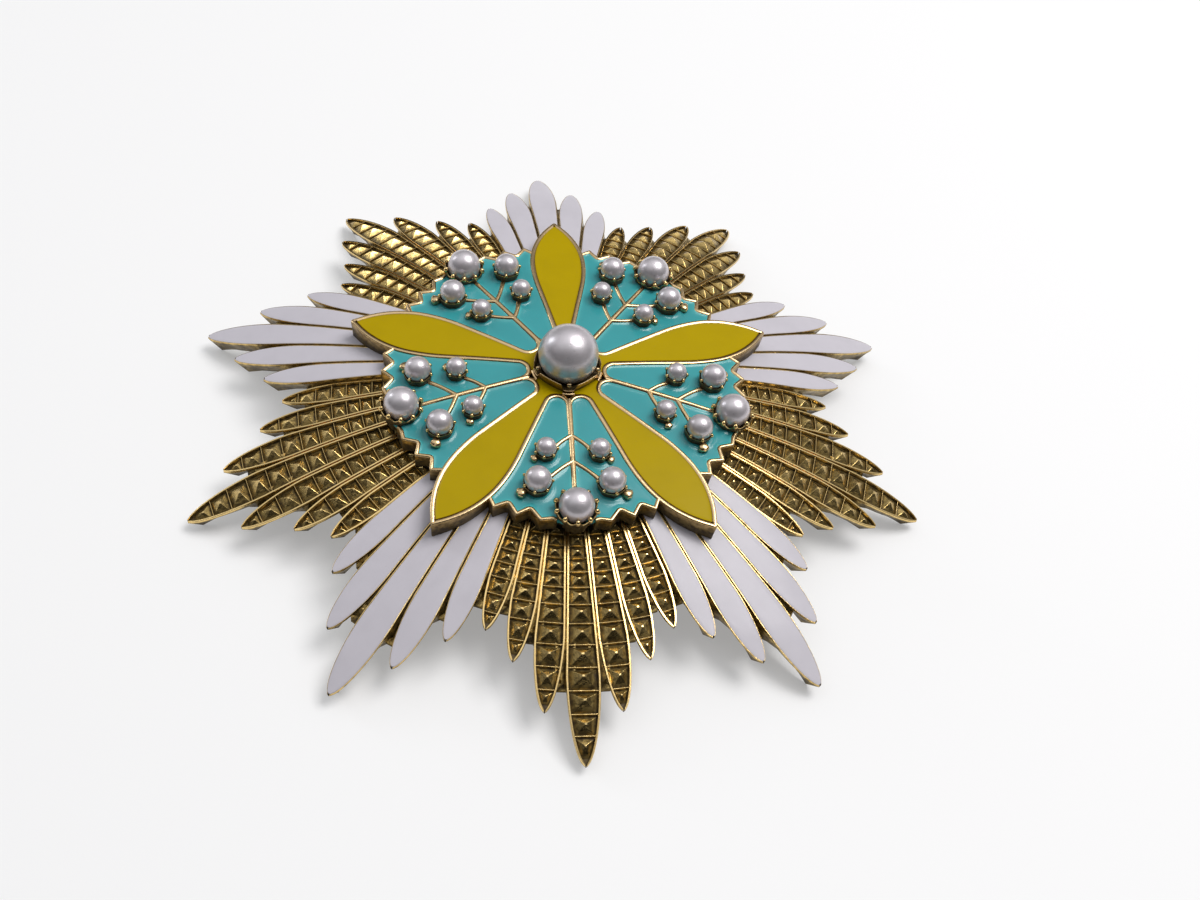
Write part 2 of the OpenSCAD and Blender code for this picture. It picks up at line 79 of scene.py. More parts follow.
# The pyramids on a gold feather: height and length as shares of half their width, with a limit to
# the length, and the outermost one's start, end and least length, measured from the feather's tip
PYRAMID_SLOPE = 0.66
PYRAMID_LENGTH = 1.6
PYRAMID_MAX = 2.3
POINT_PYRAMID_START = 2.8
POINT_PYRAMID_END = 0.75
POINT_PYRAMID_MIN = 1.68

# Half the angle of a tooth of the medallion's zigzag edge
HALF_TOOTH = math.radians(7.05) / 2

# The centre pearl: diameter, and height of its middle over the medallion
CENTRE_PEARL_D = 7.0
CENTRE_PEARL_H = 2.3

# The camera that fits the photograph: focal length and picture width in its pixels, the star's place
# before it in star radii, and the star's turn about X, Y and Z in radians
FOCAL_PX = 1410.44
PHOTO_W_PX = 1200
STAR_BEFORE_CAMERA = (-0.11497, 0.06051, -3.84851)
STAR_TURN = (-0.67454, 0.11528, 0.08418)


# Sizes and finishes that a user may change


def length(name, description, millimetres):
    """A length property with its default given in millimetres."""
    return FloatProperty(name=name, description=description, default=millimetres * MM,
                         min=0.0, precision=5, unit="LENGTH")


def colour(name, description, value):
    """A colour property in linear light."""
    return FloatVectorProperty(name=name, description=description, default=value,
                               size=3, min=0.0, max=1.0, subtype="COLOR")


def share(name, description, value):
    """A property between nought and one."""
    return FloatProperty(name=name, description=description, default=value,
                         min=0.0, max=1.0, subtype="FACTOR")


class StarSizes(bpy.types.PropertyGroup):
    """Sizes of the star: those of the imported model, but for rims that are a little wider."""

    star_r: length("Star Radius", "Distance from the centre to the long tips", 45)
    dome_rise: length("Dome Rise", "Height of the domed face at the centre above the tips", 9.65)
    plate_t: length("Plate Thickness", "From the hollow back to the rims of the feathers", 1.5)
    white_rise: length("White Rise", "How much the white feathers stand above the gold ones", 0.45)
    groove_w: length("Groove", "Gap between the rims of two feathers", 0.12)
    gold_rim_w: length("Gold Rim", "Width of the rim round a gold feather", 0.24)
    gold_floor_depth: length("Gold Floor", "Depth of the floor under the pyramids", 0.45)
    ridge_w: length("Ridge", "Width of the ridge between two pyramids", 0.11)
    ridge_h: length("Ridge Height", "Height of that ridge above the floor", 0.34)
    white_rim_w: length("White Rim", "Width of the rim round a white feather", 0.16)
    white_recess: length("White Recess", "Depth of the recess under the white enamel", 0.4)
    medallion_rise: length("Medallion Rise", "Height of the medallion above the star", 1.55)
    medallion_dome_r: length("Medallion Dome", "Radius of the medallion's slight dome", 207)
    rim_w: length("Petal Rim", "Width of the rims round petals and at the lobes' inner ends", 0.58)
    edge_w: length("Lobe Rim", "Width of the rims along the zigzag edges", 0.46)
    recess: length("Medallion Recess", "Depth of the floor under the medallion's enamel", 0.6)
    yellow_drop: length("Yellow Drop", "How far the yellow enamel stays below the rim", 0.1)
    turquoise_drop: length("Turquoise Drop", "How far the turquoise enamel stays below the rim", 0.3)
    petal_r: length("Petal Length", "Distance from the centre to a petal's point", 26.5)
    petal_half_w: length("Petal Half Width", "Half the greatest width of a petal", 3.45)
    zigzag_r: length("Zigzag Radius", "Radius of the zigzag edge at its points", 21.5)
    zigzag_depth: length("Zigzag Depth", "Depth of the zigzag from point to notch", 1.2)
    collar_h: length("Collar Height", "Height of the collar round the centre pearl", 1.2)
    medallion_turn: FloatProperty(name="Medallion Turn",
                                  description="Turn of the medallion against the rays",
                                  default=math.radians(-0.8), subtype="ANGLE", unit="ROTATION")
    small_claws: IntProperty(name="Claws", description="Claws on a small or medium cup",
                             default=7, min=4, max=12)
    large_claws: IntProperty(name="Large Claws", description="Claws on a large cup",
                             default=10, min=4, max=16)


class StarFinishes(bpy.types.PropertyGroup):
    """Colours of the metal, the enamels and the pearls."""

    gold: colour("Gold", "Polished gilding", (0.88, 0.64, 0.28))
    rose_gold: colour("Rose Gold", "Rims and wires of the medallion", (0.66, 0.475, 0.255))
    # The next two colours are painted into the hollows by depth: old gilding and patina, with painted
    # shade.
    old_gold: colour("Old Gold", "Gilding in the hollows", (0.36, 0.25, 0.07))
    patina: colour("Patina", "Dark deposit in the deepest hollows", (0.03, 0.018, 0.008))
    white: colour("White Enamel", "Enamel of the white rays", (0.56, 0.535, 0.585))
    yellow: colour("Yellow Enamel", "Enamel of the petals", (0.42, 0.30, 0.0))
    turquoise: colour("Turquoise Enamel", "Enamel of the lobes", (0.037, 0.305, 0.33))
    # Painted highlight where the enamel climbs the metal
    turquoise_light: colour("Turquoise Edge", "Enamel where it climbs the metal", (0.12, 0.55, 0.54))
    pearl: colour("Pearl", "Body colour of the pearls", (0.60, 0.575, 0.60))
    floor: colour("Floor", "Studio floor", (0.6, 0.6, 0.605))
    # How much painted shade and patina stays in the hollows
    wear: share("Wear", "How much of the dark deposit is left in the hollows", 0.82)


def cap_z(top, radius, r):
    """Height at r of a round dome that rises to top."""
    return top - radius + np.sqrt(radius**2 - np.square(r))


def inside_rim(half_w, rim_w):
    """Half width between the rims, which leave at least three tenths of it."""
    return max(0.3 * half_w, half_w - rim_w)


class Sizes:
    """The star's sizes in millimetres, and the heights and widths that follow from them."""

    def __init__(self):
        group = bpy.context.scene.star_sizes
        for name in StarSizes.__annotations__:
            value = getattr(group, name)
            plain = isinstance(value, int) or name == "medallion_turn"
            setattr(self, name, value if plain else value / MM)
        self.dome_r = (self.star_r**2 + self.dome_rise**2) / (2 * self.dome_rise)
        self.medallion_top = self.plate_t + self.dome_rise + self.medallion_rise
        self.half_pitch = math.tan(FEATHER_PITCH / 2)
        self.petal_start = WHITE_START + self.medallion_turn
        self.lobe_start = GOLD_START + self.medallion_turn

    def face_z(self, r):
        """Height of the gold feathers' rims."""
        return cap_z(self.plate_t + self.dome_rise, self.dome_r, r)

    def medallion_z(self, r):
        """Height of the medallion's rims."""
        return cap_z(self.medallion_top, self.medallion_dome_r, r)

    def wedge(self, r):
        """Half width of a feather between its neighbours."""
        return r * self.half_pitch - self.groove_w / 2

    def shoulder(self, tip_r):
        """Radius at which the pointed end of the feather begins whose tip is at tip_r."""
        full = self.wedge(tip_r)
        return tip_r - POINT_SLENDERNESS * full / (1 + POINT_SLENDERNESS * self.half_pitch)

    def half_w(self, r, tip_r):
        """Half width of the feather whose tip is at tip_r: a wedge with a blunt pointed end."""
        shoulder = self.shoulder(tip_r)
        if r <= shoulder:
            return self.wedge(r)
        along = (r - shoulder) / (tip_r - shoulder)
        return max(TIP_HALF_W, self.wedge(shoulder) * max(0.0, 1 - along**2) ** POINT_POWER)

    def white_rim(self, r, tip_r):
        """Width of a white feather's rim, which thins out round its free end."""
        return self.white_rim_w * (1 - POINT_THINNING * self.free(r, tip_r))

    def free(self, r, tip_r):
        """How far the feather stands free of its neighbours: 0 up to its shoulder, and 1 from two
        fifths of its pointed end."""
        shoulder = self.shoulder(tip_r)
        return min(1.0, max(0.0, 2.5 * (r - shoulder) / (tip_r - shoulder)))

    def rows(self):
        """Radii of the lines between the rows of pyramids, which all gold feathers share."""
        radii = [self.star_r - POINT_PYRAMID_START]
        while radii[-1] > ROOT_R:
            inside = self.half_w(radii[-1] - PYRAMID_MAX / 2, self.star_r) - self.gold_rim_w
            radii.append(radii[-1] - min(PYRAMID_MAX, PYRAMID_LENGTH * inside))
        return radii[-2::-1]


# Nodes: shader and geometry trees written as expressions


class Wire:
    """An output socket that takes part in Python sums. Each operator adds its Math node."""

    def __init__(self, net, socket):
        self.net, self.socket = net, socket

    def maths(self, operation, *values):
        """The result of a Math node."""
        return self.net.node("ShaderNodeMath", {"operation": operation}, *values)

    def out(self, name):
        """Another output of the same node."""
        return Wire(self.net, self.socket.node.outputs[name])

    def __add__(self, other):
        return self.maths("ADD", self, other)

    def __sub__(self, other):
        return self.maths("SUBTRACT", self, other)

    def __rsub__(self, other):
        return self.maths("SUBTRACT", other, self)

    def __mul__(self, other):
        return self.maths("MULTIPLY", self, other)

    def __pow__(self, other):
        return self.maths("POWER", self, other)

    __radd__ = __add__
    __rmul__ = __mul__

    def clamp(self):
        return self.net.node("ShaderNodeClamp", {}, self)


class Net:
    """A node tree with one method that adds any node to it."""

    def __init__(self, tree):
        self.tree = tree

    def node(self, kind, settings=None, *values, **named):
        """Adds a node, makes its settings, then gives its sockets values or links, by place or name."""
        made = self.tree.nodes.new(kind)
        for key, value in (settings or {}).items():
            setattr(made, key, value)
        for key, value in [*enumerate(values), *named.items()]:
            socket = made.inputs[key if isinstance(key, int) else key.replace("_", " ")]
            if isinstance(value, Wire):
                self.tree.links.new(value.socket, socket)
            else:
                socket.default_value = value
        return Wire(self, made.outputs[0]) if made.outputs else made

    def mix(self, factor, first, second):
        """Mixes two colours."""
        made = self.tree.nodes.new("ShaderNodeMix")
        made.data_type = "RGBA"
        for index, value in ((0, factor), (6, first), (7, second)):
            if isinstance(value, Wire):
                self.tree.links.new(value.socket, made.inputs[index])
            else:
                made.inputs[index].default_value = value if index == 0 else (*value[:3], 1)
        return Wire(self, made.outputs[2])

    def noise(self, place, scale, detail=3.0):
        """Noise with features of about 1/scale metres."""
        return self.node("ShaderNodeTexNoise", {}, Vector=place, Scale=scale, Detail=detail,
                         Roughness=0.6)

    def bump(self, height, millimetres):
        """A bump of this height where the value is one."""
        return self.node("ShaderNodeBump", {}, Strength=1.0, Distance=millimetres * MM, Height=height)


def new_material(name):
    """An empty material and its tree."""
    material = bpy.data.materials.new(name)
    material.use_nodes = True
    material.node_tree.nodes.clear()
    return material, Net(material.node_tree)


def close_material(net, **sockets):
    """Ends a material in a Principled shader with these sockets."""
    shader = net.node("ShaderNodeBsdfPrincipled", {}, **sockets)
    net.node("ShaderNodeOutputMaterial", {}, shader)


def gilt(name, tint="gold", roughness=0.17, grime=0.0):
    """Gilt metal: bright and smooth on the rims, and where the depth attribute says so, darker old gilding
    and patina with painted shade in the hollows.
    """
    material = bpy.data.materials.get(name)
    if material:
        return material
    looks = bpy.context.scene.star_finishes
    material, net = new_material(name)
    place = net.node("ShaderNodeTexCoord").out("Object")
    depth = net.node("ShaderNodeAttribute", {"attribute_name": "depth"}).out("Fac")
    cloud = net.noise(place, 700)
    grain = net.noise(place, 5200, 5.0)
    blots = ((net.noise(place, 1700, 3.0) - 0.44) * 6).clamp()
    # Painted shade: the depth attribute darkens the hollows along with their old gilding and patina, and
    # the grime setting adds more.
    wear_and_shade = (depth * 1.3 + (cloud - 0.5) * 0.6 - 0.08).clamp()
    hollow_patina_and_shade = ((depth - 0.6 + grime + (cloud - 0.5) * 0.7) * 2.6).clamp() * looks.wear
    body = net.mix(wear_and_shade, getattr(looks, tint), looks.old_gold)
    tone = net.mix(blots * wear_and_shade * 0.75, body, looks.patina)
    uneven = (grain * 0.5 + blots * 0.4 + cloud) * (wear_and_shade * 0.8 + 0.2)
    close_material(net, Base_Color=net.mix(hollow_patina_and_shade, tone, looks.patina), Metallic=1 - hollow_patina_and_shade * 0.92,
                   Roughness=(wear_and_shade * 0.07 + hollow_patina_and_shade * 0.3 + grain * 0.08 + roughness).clamp(),
                   Normal=net.bump(uneven, 0.04))
    return material


def enamel(name, base, edge_colour, edge_strength, roughness, gloss):
    """Opaque enamel with faint clouds, fine specks and another tone where it climbs the metal: painted
    shade on the white and yellow enamels, a painted highlight on the turquoise.
    """
    material, net = new_material(name)
    place = net.node("ShaderNodeTexCoord").out("Object")
    edge = net.node("ShaderNodeAttribute", {"attribute_name": "depth"}).out("Fac")
    cloud = net.noise(place, 260, 2.0)
    ripple = net.noise(place, 420, 1.0)
    specks = ((net.noise(place, 4200, 2.0) - 0.66) * 9).clamp()
    # Painted edge tone along the metal: shade with a darker edge colour, a highlight with a lighter one
    edge_shaded = net.mix((edge * edge_strength).clamp(), base, edge_colour)
    clouded = net.mix((cloud - 0.42).clamp() * 1.2, edge_shaded, tuple(0.86 * c for c in base))
    close_material(net, Base_Color=net.mix(specks * 0.12, clouded, (0.25, 0.2, 0.15)),
                   Roughness=(cloud * 0.08 + roughness).clamp(), Specular_IOR_Level=gloss,
                   Coat_Weight=0.5 * gloss, Coat_Roughness=0.1, Normal=net.bump(ripple, 0.035))
    return material


def pearl_material():
    """Pinkish grey pearl with a soft lustre, faint bands and tiny pits."""
    looks = bpy.context.scene.star_finishes
    material, net = new_material("pearl_lustre")
    place = net.node("ShaderNodeTexCoord").out("Object")
    cloud = net.noise(place, 480, 3.0)
    pits = ((net.noise(place, 2600, 2.0) - 0.63) * 8).clamp()
    rose = net.mix((cloud * 1.6 - 0.4).clamp(), looks.pearl, (0.64, 0.58, 0.62))
    close_material(net, Base_Color=net.mix(pits * 0.3, rose, (0.16, 0.13, 0.12)), Metallic=0.55,
                   Roughness=(cloud * 0.12 + 0.28).clamp(), Coat_Weight=0.5, Coat_Roughness=0.22,
                   Normal=net.bump(cloud + pits * -0.3, 0.03))
    return material


# Meshes


# Edges that turn by more than this, in degrees, are left sharp unless a shape says otherwise
SOFT_CREASE = 35


class Shape:
    """Gathers closed shells, in millimetres. Each point has a depth up to 1: how far down it lies between
    the metal's rims or, on enamel, how near the metal it is. On metal the depth paints shade and patina
    into the hollows. On the white and yellow enamels it paints shade along the metal, and on the turquoise
    a highlight."""

    def __init__(self):
        self.points, self.faces, self.depths = [], [], []

    def add(self, points, faces, depths):
        """Adds points and the faces that name them."""
        start = len(self.points)
        self.points.extend(points)
        self.faces.extend([start + i for i in face] for face in faces)
        self.depths.extend(np.broadcast_to(depths, len(points)))

    def add_turned(self, other, angle):
        """Adds another shape's shells, turned about the star's axis."""
        self.add(turned(other.points, angle).tolist(), other.faces, other.depths)

    def loft(self, loops, depths, ring=False):
        """Skins closed loops of equal length. A ring joins the last loop to the first."""
        loops = np.asarray(loops, float)
        count, size = loops.shape[:2]
        faces = []
        for i in range(count if ring else count - 1):
            a, b = i * size, (i + 1) % count * size
            faces += [[a + k, a + (k + 1) % size, b + (k + 1) % size, b + k] for k in range(size)]
        if not ring:
            faces += [list(range(size))[::-1], [(count - 1) * size + k for k in range(size)]]
        grid = np.broadcast_to(depths, (count, size))
        self.add(loops.reshape(-1, 3).tolist(), faces, grid.reshape(-1))

    def object(self, name, material=None, crease=SOFT_CREASE):
        """Makes the mesh object, with its faces outwards and edges sharper than crease left sharp."""
        mesh = bpy.data.meshes.new(name)
        mesh.from_pydata([tuple(c * MM for c in p) for p in self.points], [], self.faces)
        attribute = mesh.attributes.new("depth", "FLOAT", "POINT")
        attribute.data.foreach_set("value", np.asarray(self.depths, np.float32))
        shell = bmesh.new()
        shell.from_mesh(mesh)
        bmesh.ops.recalc_face_normals(shell, faces=shell.faces)
        shell.to_mesh(mesh)
        shell.free()
        mesh.shade_smooth()
        mesh.set_sharp_from_angle(angle=math.radians(crease))
        if material:
            mesh.materials.append(material)
        made = bpy.data.objects.new(name, mesh)
        bpy.context.scene.collection.objects.link(made)
        return made


def turned(points, angle):
    """Points turned about the star's axis."""
    points = np.asarray(points, float)
    c, s = math.cos(angle), math.sin(angle)
    return np.stack([c * points[..., 0] - s * points[..., 1], s * points[..., 0] + c * points[..., 1],
                     points[..., 2]], -1)


def grow(source, tree, name, **inputs):
    """Runs a Geometry Nodes tree on an object and keeps the plain mesh in place of it."""
    modifier = source.modifiers.new("grow", "NODES")
    modifier.node_group = tree
    for item in tree.interface.items_tree:
        if item.in_out == "INPUT" and item.name.replace(" ", "_") in inputs:
            modifier[item.identifier] = inputs[item.name.replace(" ", "_")]
    graph = bpy.context.evaluated_depsgraph_get()
    mesh = bpy.data.meshes.new_from_object(source.evaluated_get(graph), preserve_all_data_layers=True,
                                           depsgraph=graph)
    bpy.data.objects.remove(source)
    mesh.name = name
    made = bpy.data.objects.new(name, mesh)
    bpy.context.scene.collection.objects.link(made)
    return made


def new_tree(name, **inputs):
    """An empty Geometry Nodes tree with a geometry input and these others, and its input node."""
    tree = bpy.data.node_groups.new(name, "GeometryNodeTree")
    tree.interface.new_socket(name="Geometry", in_out="INPUT", socket_type="NodeSocketGeometry")
    for key, (kind, default) in inputs.items():
        socket = tree.interface.new_socket(name=key.replace("_", " "), in_out="INPUT", socket_type=kind)
        if default is not None:
            socket.default_value = default
    tree.interface.new_socket(name="Geometry", in_out="OUTPUT", socket_type="NodeSocketGeometry")
    net = Net(tree)
    return tree, net, net.node("NodeGroupInput")


def close_tree(net, geometry, material):
    """Ends a tree in Realize Instances and Set Material."""
    whole = net.node("GeometryNodeRealizeInstances", {}, geometry)
    net.node("NodeGroupOutput", {}, net.node("GeometryNodeSetMaterial", {}, whole, Material=material))


def copies_tree(name):
    """Copies the geometry round the star's axis."""
    tree, net, given = new_tree(name, Count=("NodeSocketInt", RAYS), First_Angle=("NodeSocketFloat", 0.0),
                                Material=("NodeSocketMaterial", None))
    turn = net.node("GeometryNodeInputIndex") * RAY_TURN + given.out("First Angle")
    rotation = net.node("FunctionNodeEulerToRotation", {}, net.node("ShaderNodeCombineXYZ", {}, Z=turn))
    places = net.node("GeometryNodePoints", {}, given.out("Count"))
    copies = net.node("GeometryNodeInstanceOnPoints", {}, places, Instance=given.out("Geometry"),
                      Rotation=rotation)
    close_tree(net, copies, given.out("Material"))
    return tree


def beads_tree(name):
    """Sets a copy of an object on each point, by the point's size and turn attributes."""
    tree, net, given = new_tree(name, Bead=("NodeSocketObject", None),
                                Material=("NodeSocketMaterial", None))
    size = net.node("GeometryNodeInputNamedAttribute", {"data_type": "FLOAT"}, "size")
    turn = net.node("GeometryNodeInputNamedAttribute", {"data_type": "FLOAT_VECTOR"}, "turn")
    bead = net.node("GeometryNodeObjectInfo", {}, given.out("Bead")).out("Geometry")
    places = net.node("GeometryNodeMeshToPoints", {}, given.out("Geometry"))
    copies = net.node("GeometryNodeInstanceOnPoints", {}, places, Instance=bead, Scale=size,
                      Rotation=net.node("FunctionNodeEulerToRotation", {}, turn))
    close_tree(net, copies, given.out("Material"))
    return tree


def wires_tree(name):
    """Sweeps a round wire along each curve, as thick as the curve's own radius, with painted shade on its
    flanks.
    """
    tree, net, given = new_tree(name, Sides=("NodeSocketInt", 10),
                                Material=("NodeSocketMaterial", None))
    section = net.node("GeometryNodeCurvePrimitiveCircle", {}, given.out("Sides"), Radius=1.0)
    wire = net.node("GeometryNodeCurveToMesh", {}, given.out("Geometry"), section,
                    Scale=net.node("GeometryNodeInputRadius"), Fill_Caps=True)
    smooth = net.node("GeometryNodeSetShadeSmooth", {}, wire)
    # Painted shade: the more the surface faces away from straight up, the darker it is
    upright = net.node("ShaderNodeSeparateXYZ", {}, net.node("GeometryNodeInputNormal")).out("Z")
    shaded = net.node("GeometryNodeStoreNamedAttribute", {"data_type": "FLOAT", "domain": "POINT"}, smooth,
                      Name="depth", Value=(upright * -1.5 + 0.95).clamp())
    close_tree(net, shaded, given.out("Material"))
    return tree


TREES = {"copies_round_axis": copies_tree, "beads_on_points": beads_tree, "wires_along_paths": wires_tree}


def tree_of(name):
    """The Geometry Nodes tree of this name, made once."""
    return bpy.data.node_groups.get(name) or TREES[name](name)


def round_the_star(shape, name, material, first_angle, crease):
    """One ray's shape copied to all five rays."""
    source = shape.object(name + "_one", crease=crease)
    return grow(source, tree_of("copies_round_axis"), name, Count=RAYS, First_Angle=first_angle,
                Material=material)


def on_points(bead, places, sizes, turns, name, material):
    """The bead object set at places given in millimetres, and the bead itself removed."""
    mesh = bpy.data.meshes.new(name + "_places")
    mesh.from_pydata([tuple(c * MM for c in p) for p in places], [], [])
    mesh.attributes.new("size", "FLOAT", "POINT").data.foreach_set("value", np.asarray(sizes, np.float32))
    flat = np.asarray(turns, np.float32).reshape(-1)
    mesh.attributes.new("turn", "FLOAT_VECTOR", "POINT").data.foreach_set("vector", flat)
    source = bpy.data.objects.new(name + "_places", mesh)
    bpy.context.scene.collection.objects.link(source)
    made = grow(source, tree_of("beads_on_points"), name, Bead=bead, Material=material)
    bpy.data.objects.remove(bead)
    return made


def joined(name, *parts):
    """One object of several mesh objects."""
    for part in bpy.context.selected_objects:
        part.select_set(False)
    for part in parts:
        part.select_set(True)
    bpy.context.view_layer.objects.active = parts[0]
    bpy.ops.object.join()
    parts[0].name = parts[0].data.name = name
    return parts[0]


def hand_over(piece, slot, *nodes):
    """The piece rides on the star and stands for these nodes of the model, which it hides. The slot is not
    used.
    """
    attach(piece, "root")
    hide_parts(*nodes)


# Feathers


# A rim's profile, as (share of the rim's width in from its edge, height over its top). The depths
# also have the foot before it and the floor after it.
GOLD_RIM = ((-0.02, -0.3), (0.0, -0.1), (0.07, -0.03), (0.18, 0.0),
            (0.84, 0.0), (0.94, -0.03), (1.0, -0.1))
WHITE_RIM = ((-0.02, -0.3), (0.0, -0.12), (0.12, -0.03), (0.3, 0.0),
             (0.7, 0.0), (0.9, -0.02), (1.0, -0.06))
# Depths for painted shade and patina, from the foot over the rim to the floor
GOLD_DEPTHS = [1.0, 0.7, 0.15, 0.0, 0.0, 0.0, 0.0, 0.5, 1.0]
WHITE_DEPTHS = [0.9, 0.7, 0.4, 0.3, 0.3, 0.3, 0.4, 0.7, 1.0]


def feather_loops(s, tip_r, radii, top_rise, rim, rim_w, floor_depth):
    """Sections of a feather's metal: foot, rim, floor, and the same on the other side. The underside
    draws in towards the free tip, so that it looks thin. The rim's width is a function of the radius."""
    wall_slope, tip_draw, tip_back = 0.22, 1.0, 1.6
    loops = []
    for r in radii:
        w = s.half_w(r, tip_r)
        inner = inside_rim(w, rim_w(r))
        top = s.face_z(r) + top_rise
        foot = s.face_z(r) - s.plate_t
        free = s.free(r, tip_r)
        foot_w = (1 - free) * (w + wall_slope * (top - foot)) + free * max(0.05, w - tip_draw)
        side = [(r - tip_back * free, foot_w, foot)]
        side += [(r, w - inwards * (w - inner), top + dz) for inwards, dz in rim]
        side.append((r, max(0.05, inner - 0.05), top - floor_depth))
        loops.append([(x, -y, z) for x, y, z in side] + [(x, y, z) for x, y, z in side[::-1]])
    return loops


def tip_radii(tip_r, start):
    """Radii through the pointed end, closer together towards the tip."""
    return [start + (tip_r - start) * (1 - (1 - k / POINT_STEPS) ** 1.7) for k in range(POINT_STEPS + 1)]


def white_radii(s, tip_r, steps, gap=0):
    """Radii along a white feather, with so many steps to its shoulder, up to a gap before its tip."""
    start = s.shoulder(tip_r)
    return list(np.linspace(ROOT_R, start, steps))[:-1] + tip_radii(tip_r - gap, start)


def gem(shape, outline, apex, base_z):
    """A pyramid over an outline with chamfered corners, a small crown and a table at its apex."""
    chamfer, table, crown_w, crown_h = 0.09, 0.87, 0.62, 0.42
    count = len(outline)
    ring = []
    for k in range(count):
        before, here, after = (np.array(outline[(k + d) % count], float) for d in (-1, 0, 1))
        for other in (before, after):
            reach = np.linalg.norm(other - here)
            ring.append(here + (other - here) * min(0.3, chamfer / reach))
    ring = np.array(ring)
    top = np.array(apex, float)
    low = np.column_stack([ring, [base_z(x) for x in ring[:, 0]]])
    shoulder = low + (top - low) * table
    shoulder[:, 2] = low[:, 2] + (top[2] - low[:, 2]) * table
    crown = top[:2] + (shoulder[:, :2] - top[:2]) * crown_w
    crown = np.column_stack([crown, shoulder[:, 2] + (top[2] - shoulder[:, 2]) * crown_h])
    middle = (low + shoulder) / 2
    # The depths paint shade and patina towards the pyramid's foot and keep its top bright.
    shape.loft([low, middle, shoulder, crown], np.array([[1.0], [0.6], [0.35], [0.0]]))


# Section of a ridge: shares of its width and of its height, and the depth
RIDGE = ((-0.9, -0.1, 0.95), (-0.35, 0.75, 0.5), (-0.2, 1.0, 0.2),
         (0.2, 1.0, 0.2), (0.35, 0.75, 0.5), (0.9, -0.1, 0.95))


def ridge(shape, s, r, half):
    """The thin ridge across a gold feather between two pyramids."""
    floor = s.face_z(r) - s.gold_floor_depth
    loops = [[(r + dx * s.ridge_w, y, floor + dz * s.ridge_h) for dx, dz, _ in RIDGE]
             for y in (-half, half)]
    shape.loft(loops, [depth for _, _, depth in RIDGE])


def gold_feather(shape, s, tip_r, angle):
    """A gold feather at this angle in its ray, with its ridges and its pyramids, whose tops are a
    little uneven."""
    gap, ridge_gap, sunk, tip_rim, unevenness = 0.03, 0.02, 0.02, 0.8, 0.07
    rows = [r for r in s.rows() if r < tip_r - POINT_PYRAMID_MIN]
    one = Shape()
    start = s.shoulder(tip_r)
    straight = [r for r in rows if r < start]
    radii = straight + tip_radii(tip_r, start)
    loops = feather_loops(s, tip_r, radii, 0, GOLD_RIM, lambda r: s.gold_rim_w, s.gold_floor_depth)
    one.loft(loops, GOLD_DEPTHS + GOLD_DEPTHS[::-1])

    def inside(r):
        return inside_rim(s.half_w(r, tip_r), s.gold_rim_w) - gap

    def floor_z(r):
        return s.face_z(r) - s.gold_floor_depth - sunk

    def top_z(r):
        return s.face_z(r) + PYRAMID_SLOPE * inside(r) - s.gold_floor_depth

    edge = s.ridge_w / 2 + ridge_gap
    hand = np.random.default_rng(round(tip_r * 100) + round(angle * 100))
    for r0, r1 in zip(rows, rows[1:]):
        x0, x1, mid = r0 + edge, r1 - edge, (r0 + r1) / 2
        outline = [(x0, -inside(x0)), (x1, -inside(x1)), (x1, inside(x1)), (x0, inside(x0))]
        dx, dy, dz = hand.uniform(-unevenness, unevenness, 3)
        gem(one, outline, (mid + dx, dy, top_z(mid) + dz), floor_z)
    for r in rows[1:]:
        ridge(one, s, r, inside(r) + 2 * gap)
    last, end = rows[-1] + edge, tip_r - POINT_PYRAMID_END
    sides = [last + (end - last) * k / 5 for k in range(6)]
    outline = [(x, -inside(x)) for x in sides] + [(x, inside(x)) for x in sides[::-1]]
    mid = (rows[-1] + tip_r - tip_rim) / 2
    gem(one, outline, (mid, 0, top_z(mid)), floor_z)
    shape.add_turned(one, angle)


def white_feather(shape, s, tip_r, angle):
    """The metal of a white feather."""
    one = Shape()
    loops = feather_loops(s, tip_r, white_radii(s, tip_r, 8), s.white_rise, WHITE_RIM,
                          lambda r: s.white_rim(r, tip_r), s.white_recess)
    one.loft(loops, WHITE_DEPTHS + WHITE_DEPTHS[::-1])
    shape.add_turned(one, angle)


def crotch(shape, s, tip_r, angle):
    """The grooved web between two feathers, with its hollow end in their crotch. The shorter one's
    tip is at tip_r."""
    one = Shape()
    before_tip, under, hollow, sunk, groove = 2.6, 0.3, 0.7, 0.75, 0.45
    end = tip_r - before_tip
    half = end * s.half_pitch - s.half_w(end, tip_r) + under
    loops = []
    for r in (end - 5, end - 2.5, end - 0.8, end):
        z = s.face_z(r)
        back = hollow * (r == end)
        loop = [(r - back * (1 - u * u), half * u, z - sunk + groove * abs(u))
                for u in np.linspace(-1, 1, 7)]
        loops.append(loop + [(r, half, z - s.plate_t), (r, -half, z - s.plate_t)])
    one.loft(loops, [0.35, 0.5, 0.7, 0.85, 0.7, 0.5, 0.35, 0.9, 0.9])
    shape.add_turned(one, angle)


def seam(shape, s, tip_r, angle, rise, depth):
    """The shallow groove between two feathers, which falls away where they part. The shorter one's
    tip is at tip_r."""
    one = Shape()
    under, sunk, groove, thick = 0.12, 0.16, 0.1, 0.5
    fall, part_half_w = 1.8, 0.19
    loops = []
    shoulder = s.shoulder(tip_r)
    for r in (ROOT_R, *np.linspace(shoulder, 0.6 * shoulder + 0.4 * tip_r, 5)):
        half = r * s.half_pitch - s.half_w(r, tip_r) + under
        z = s.face_z(r) + rise - sunk - fall * max(0.0, half - part_half_w)
        low = z - thick
        loops.append([(r, -half, z), (r, 0, z - groove), (r, half, z), (r, half, low), (r, -half, low)])
    one.loft(loops, [depth, depth + 0.3, depth, 0.9, 0.9])
    shape.add_turned(one, angle)


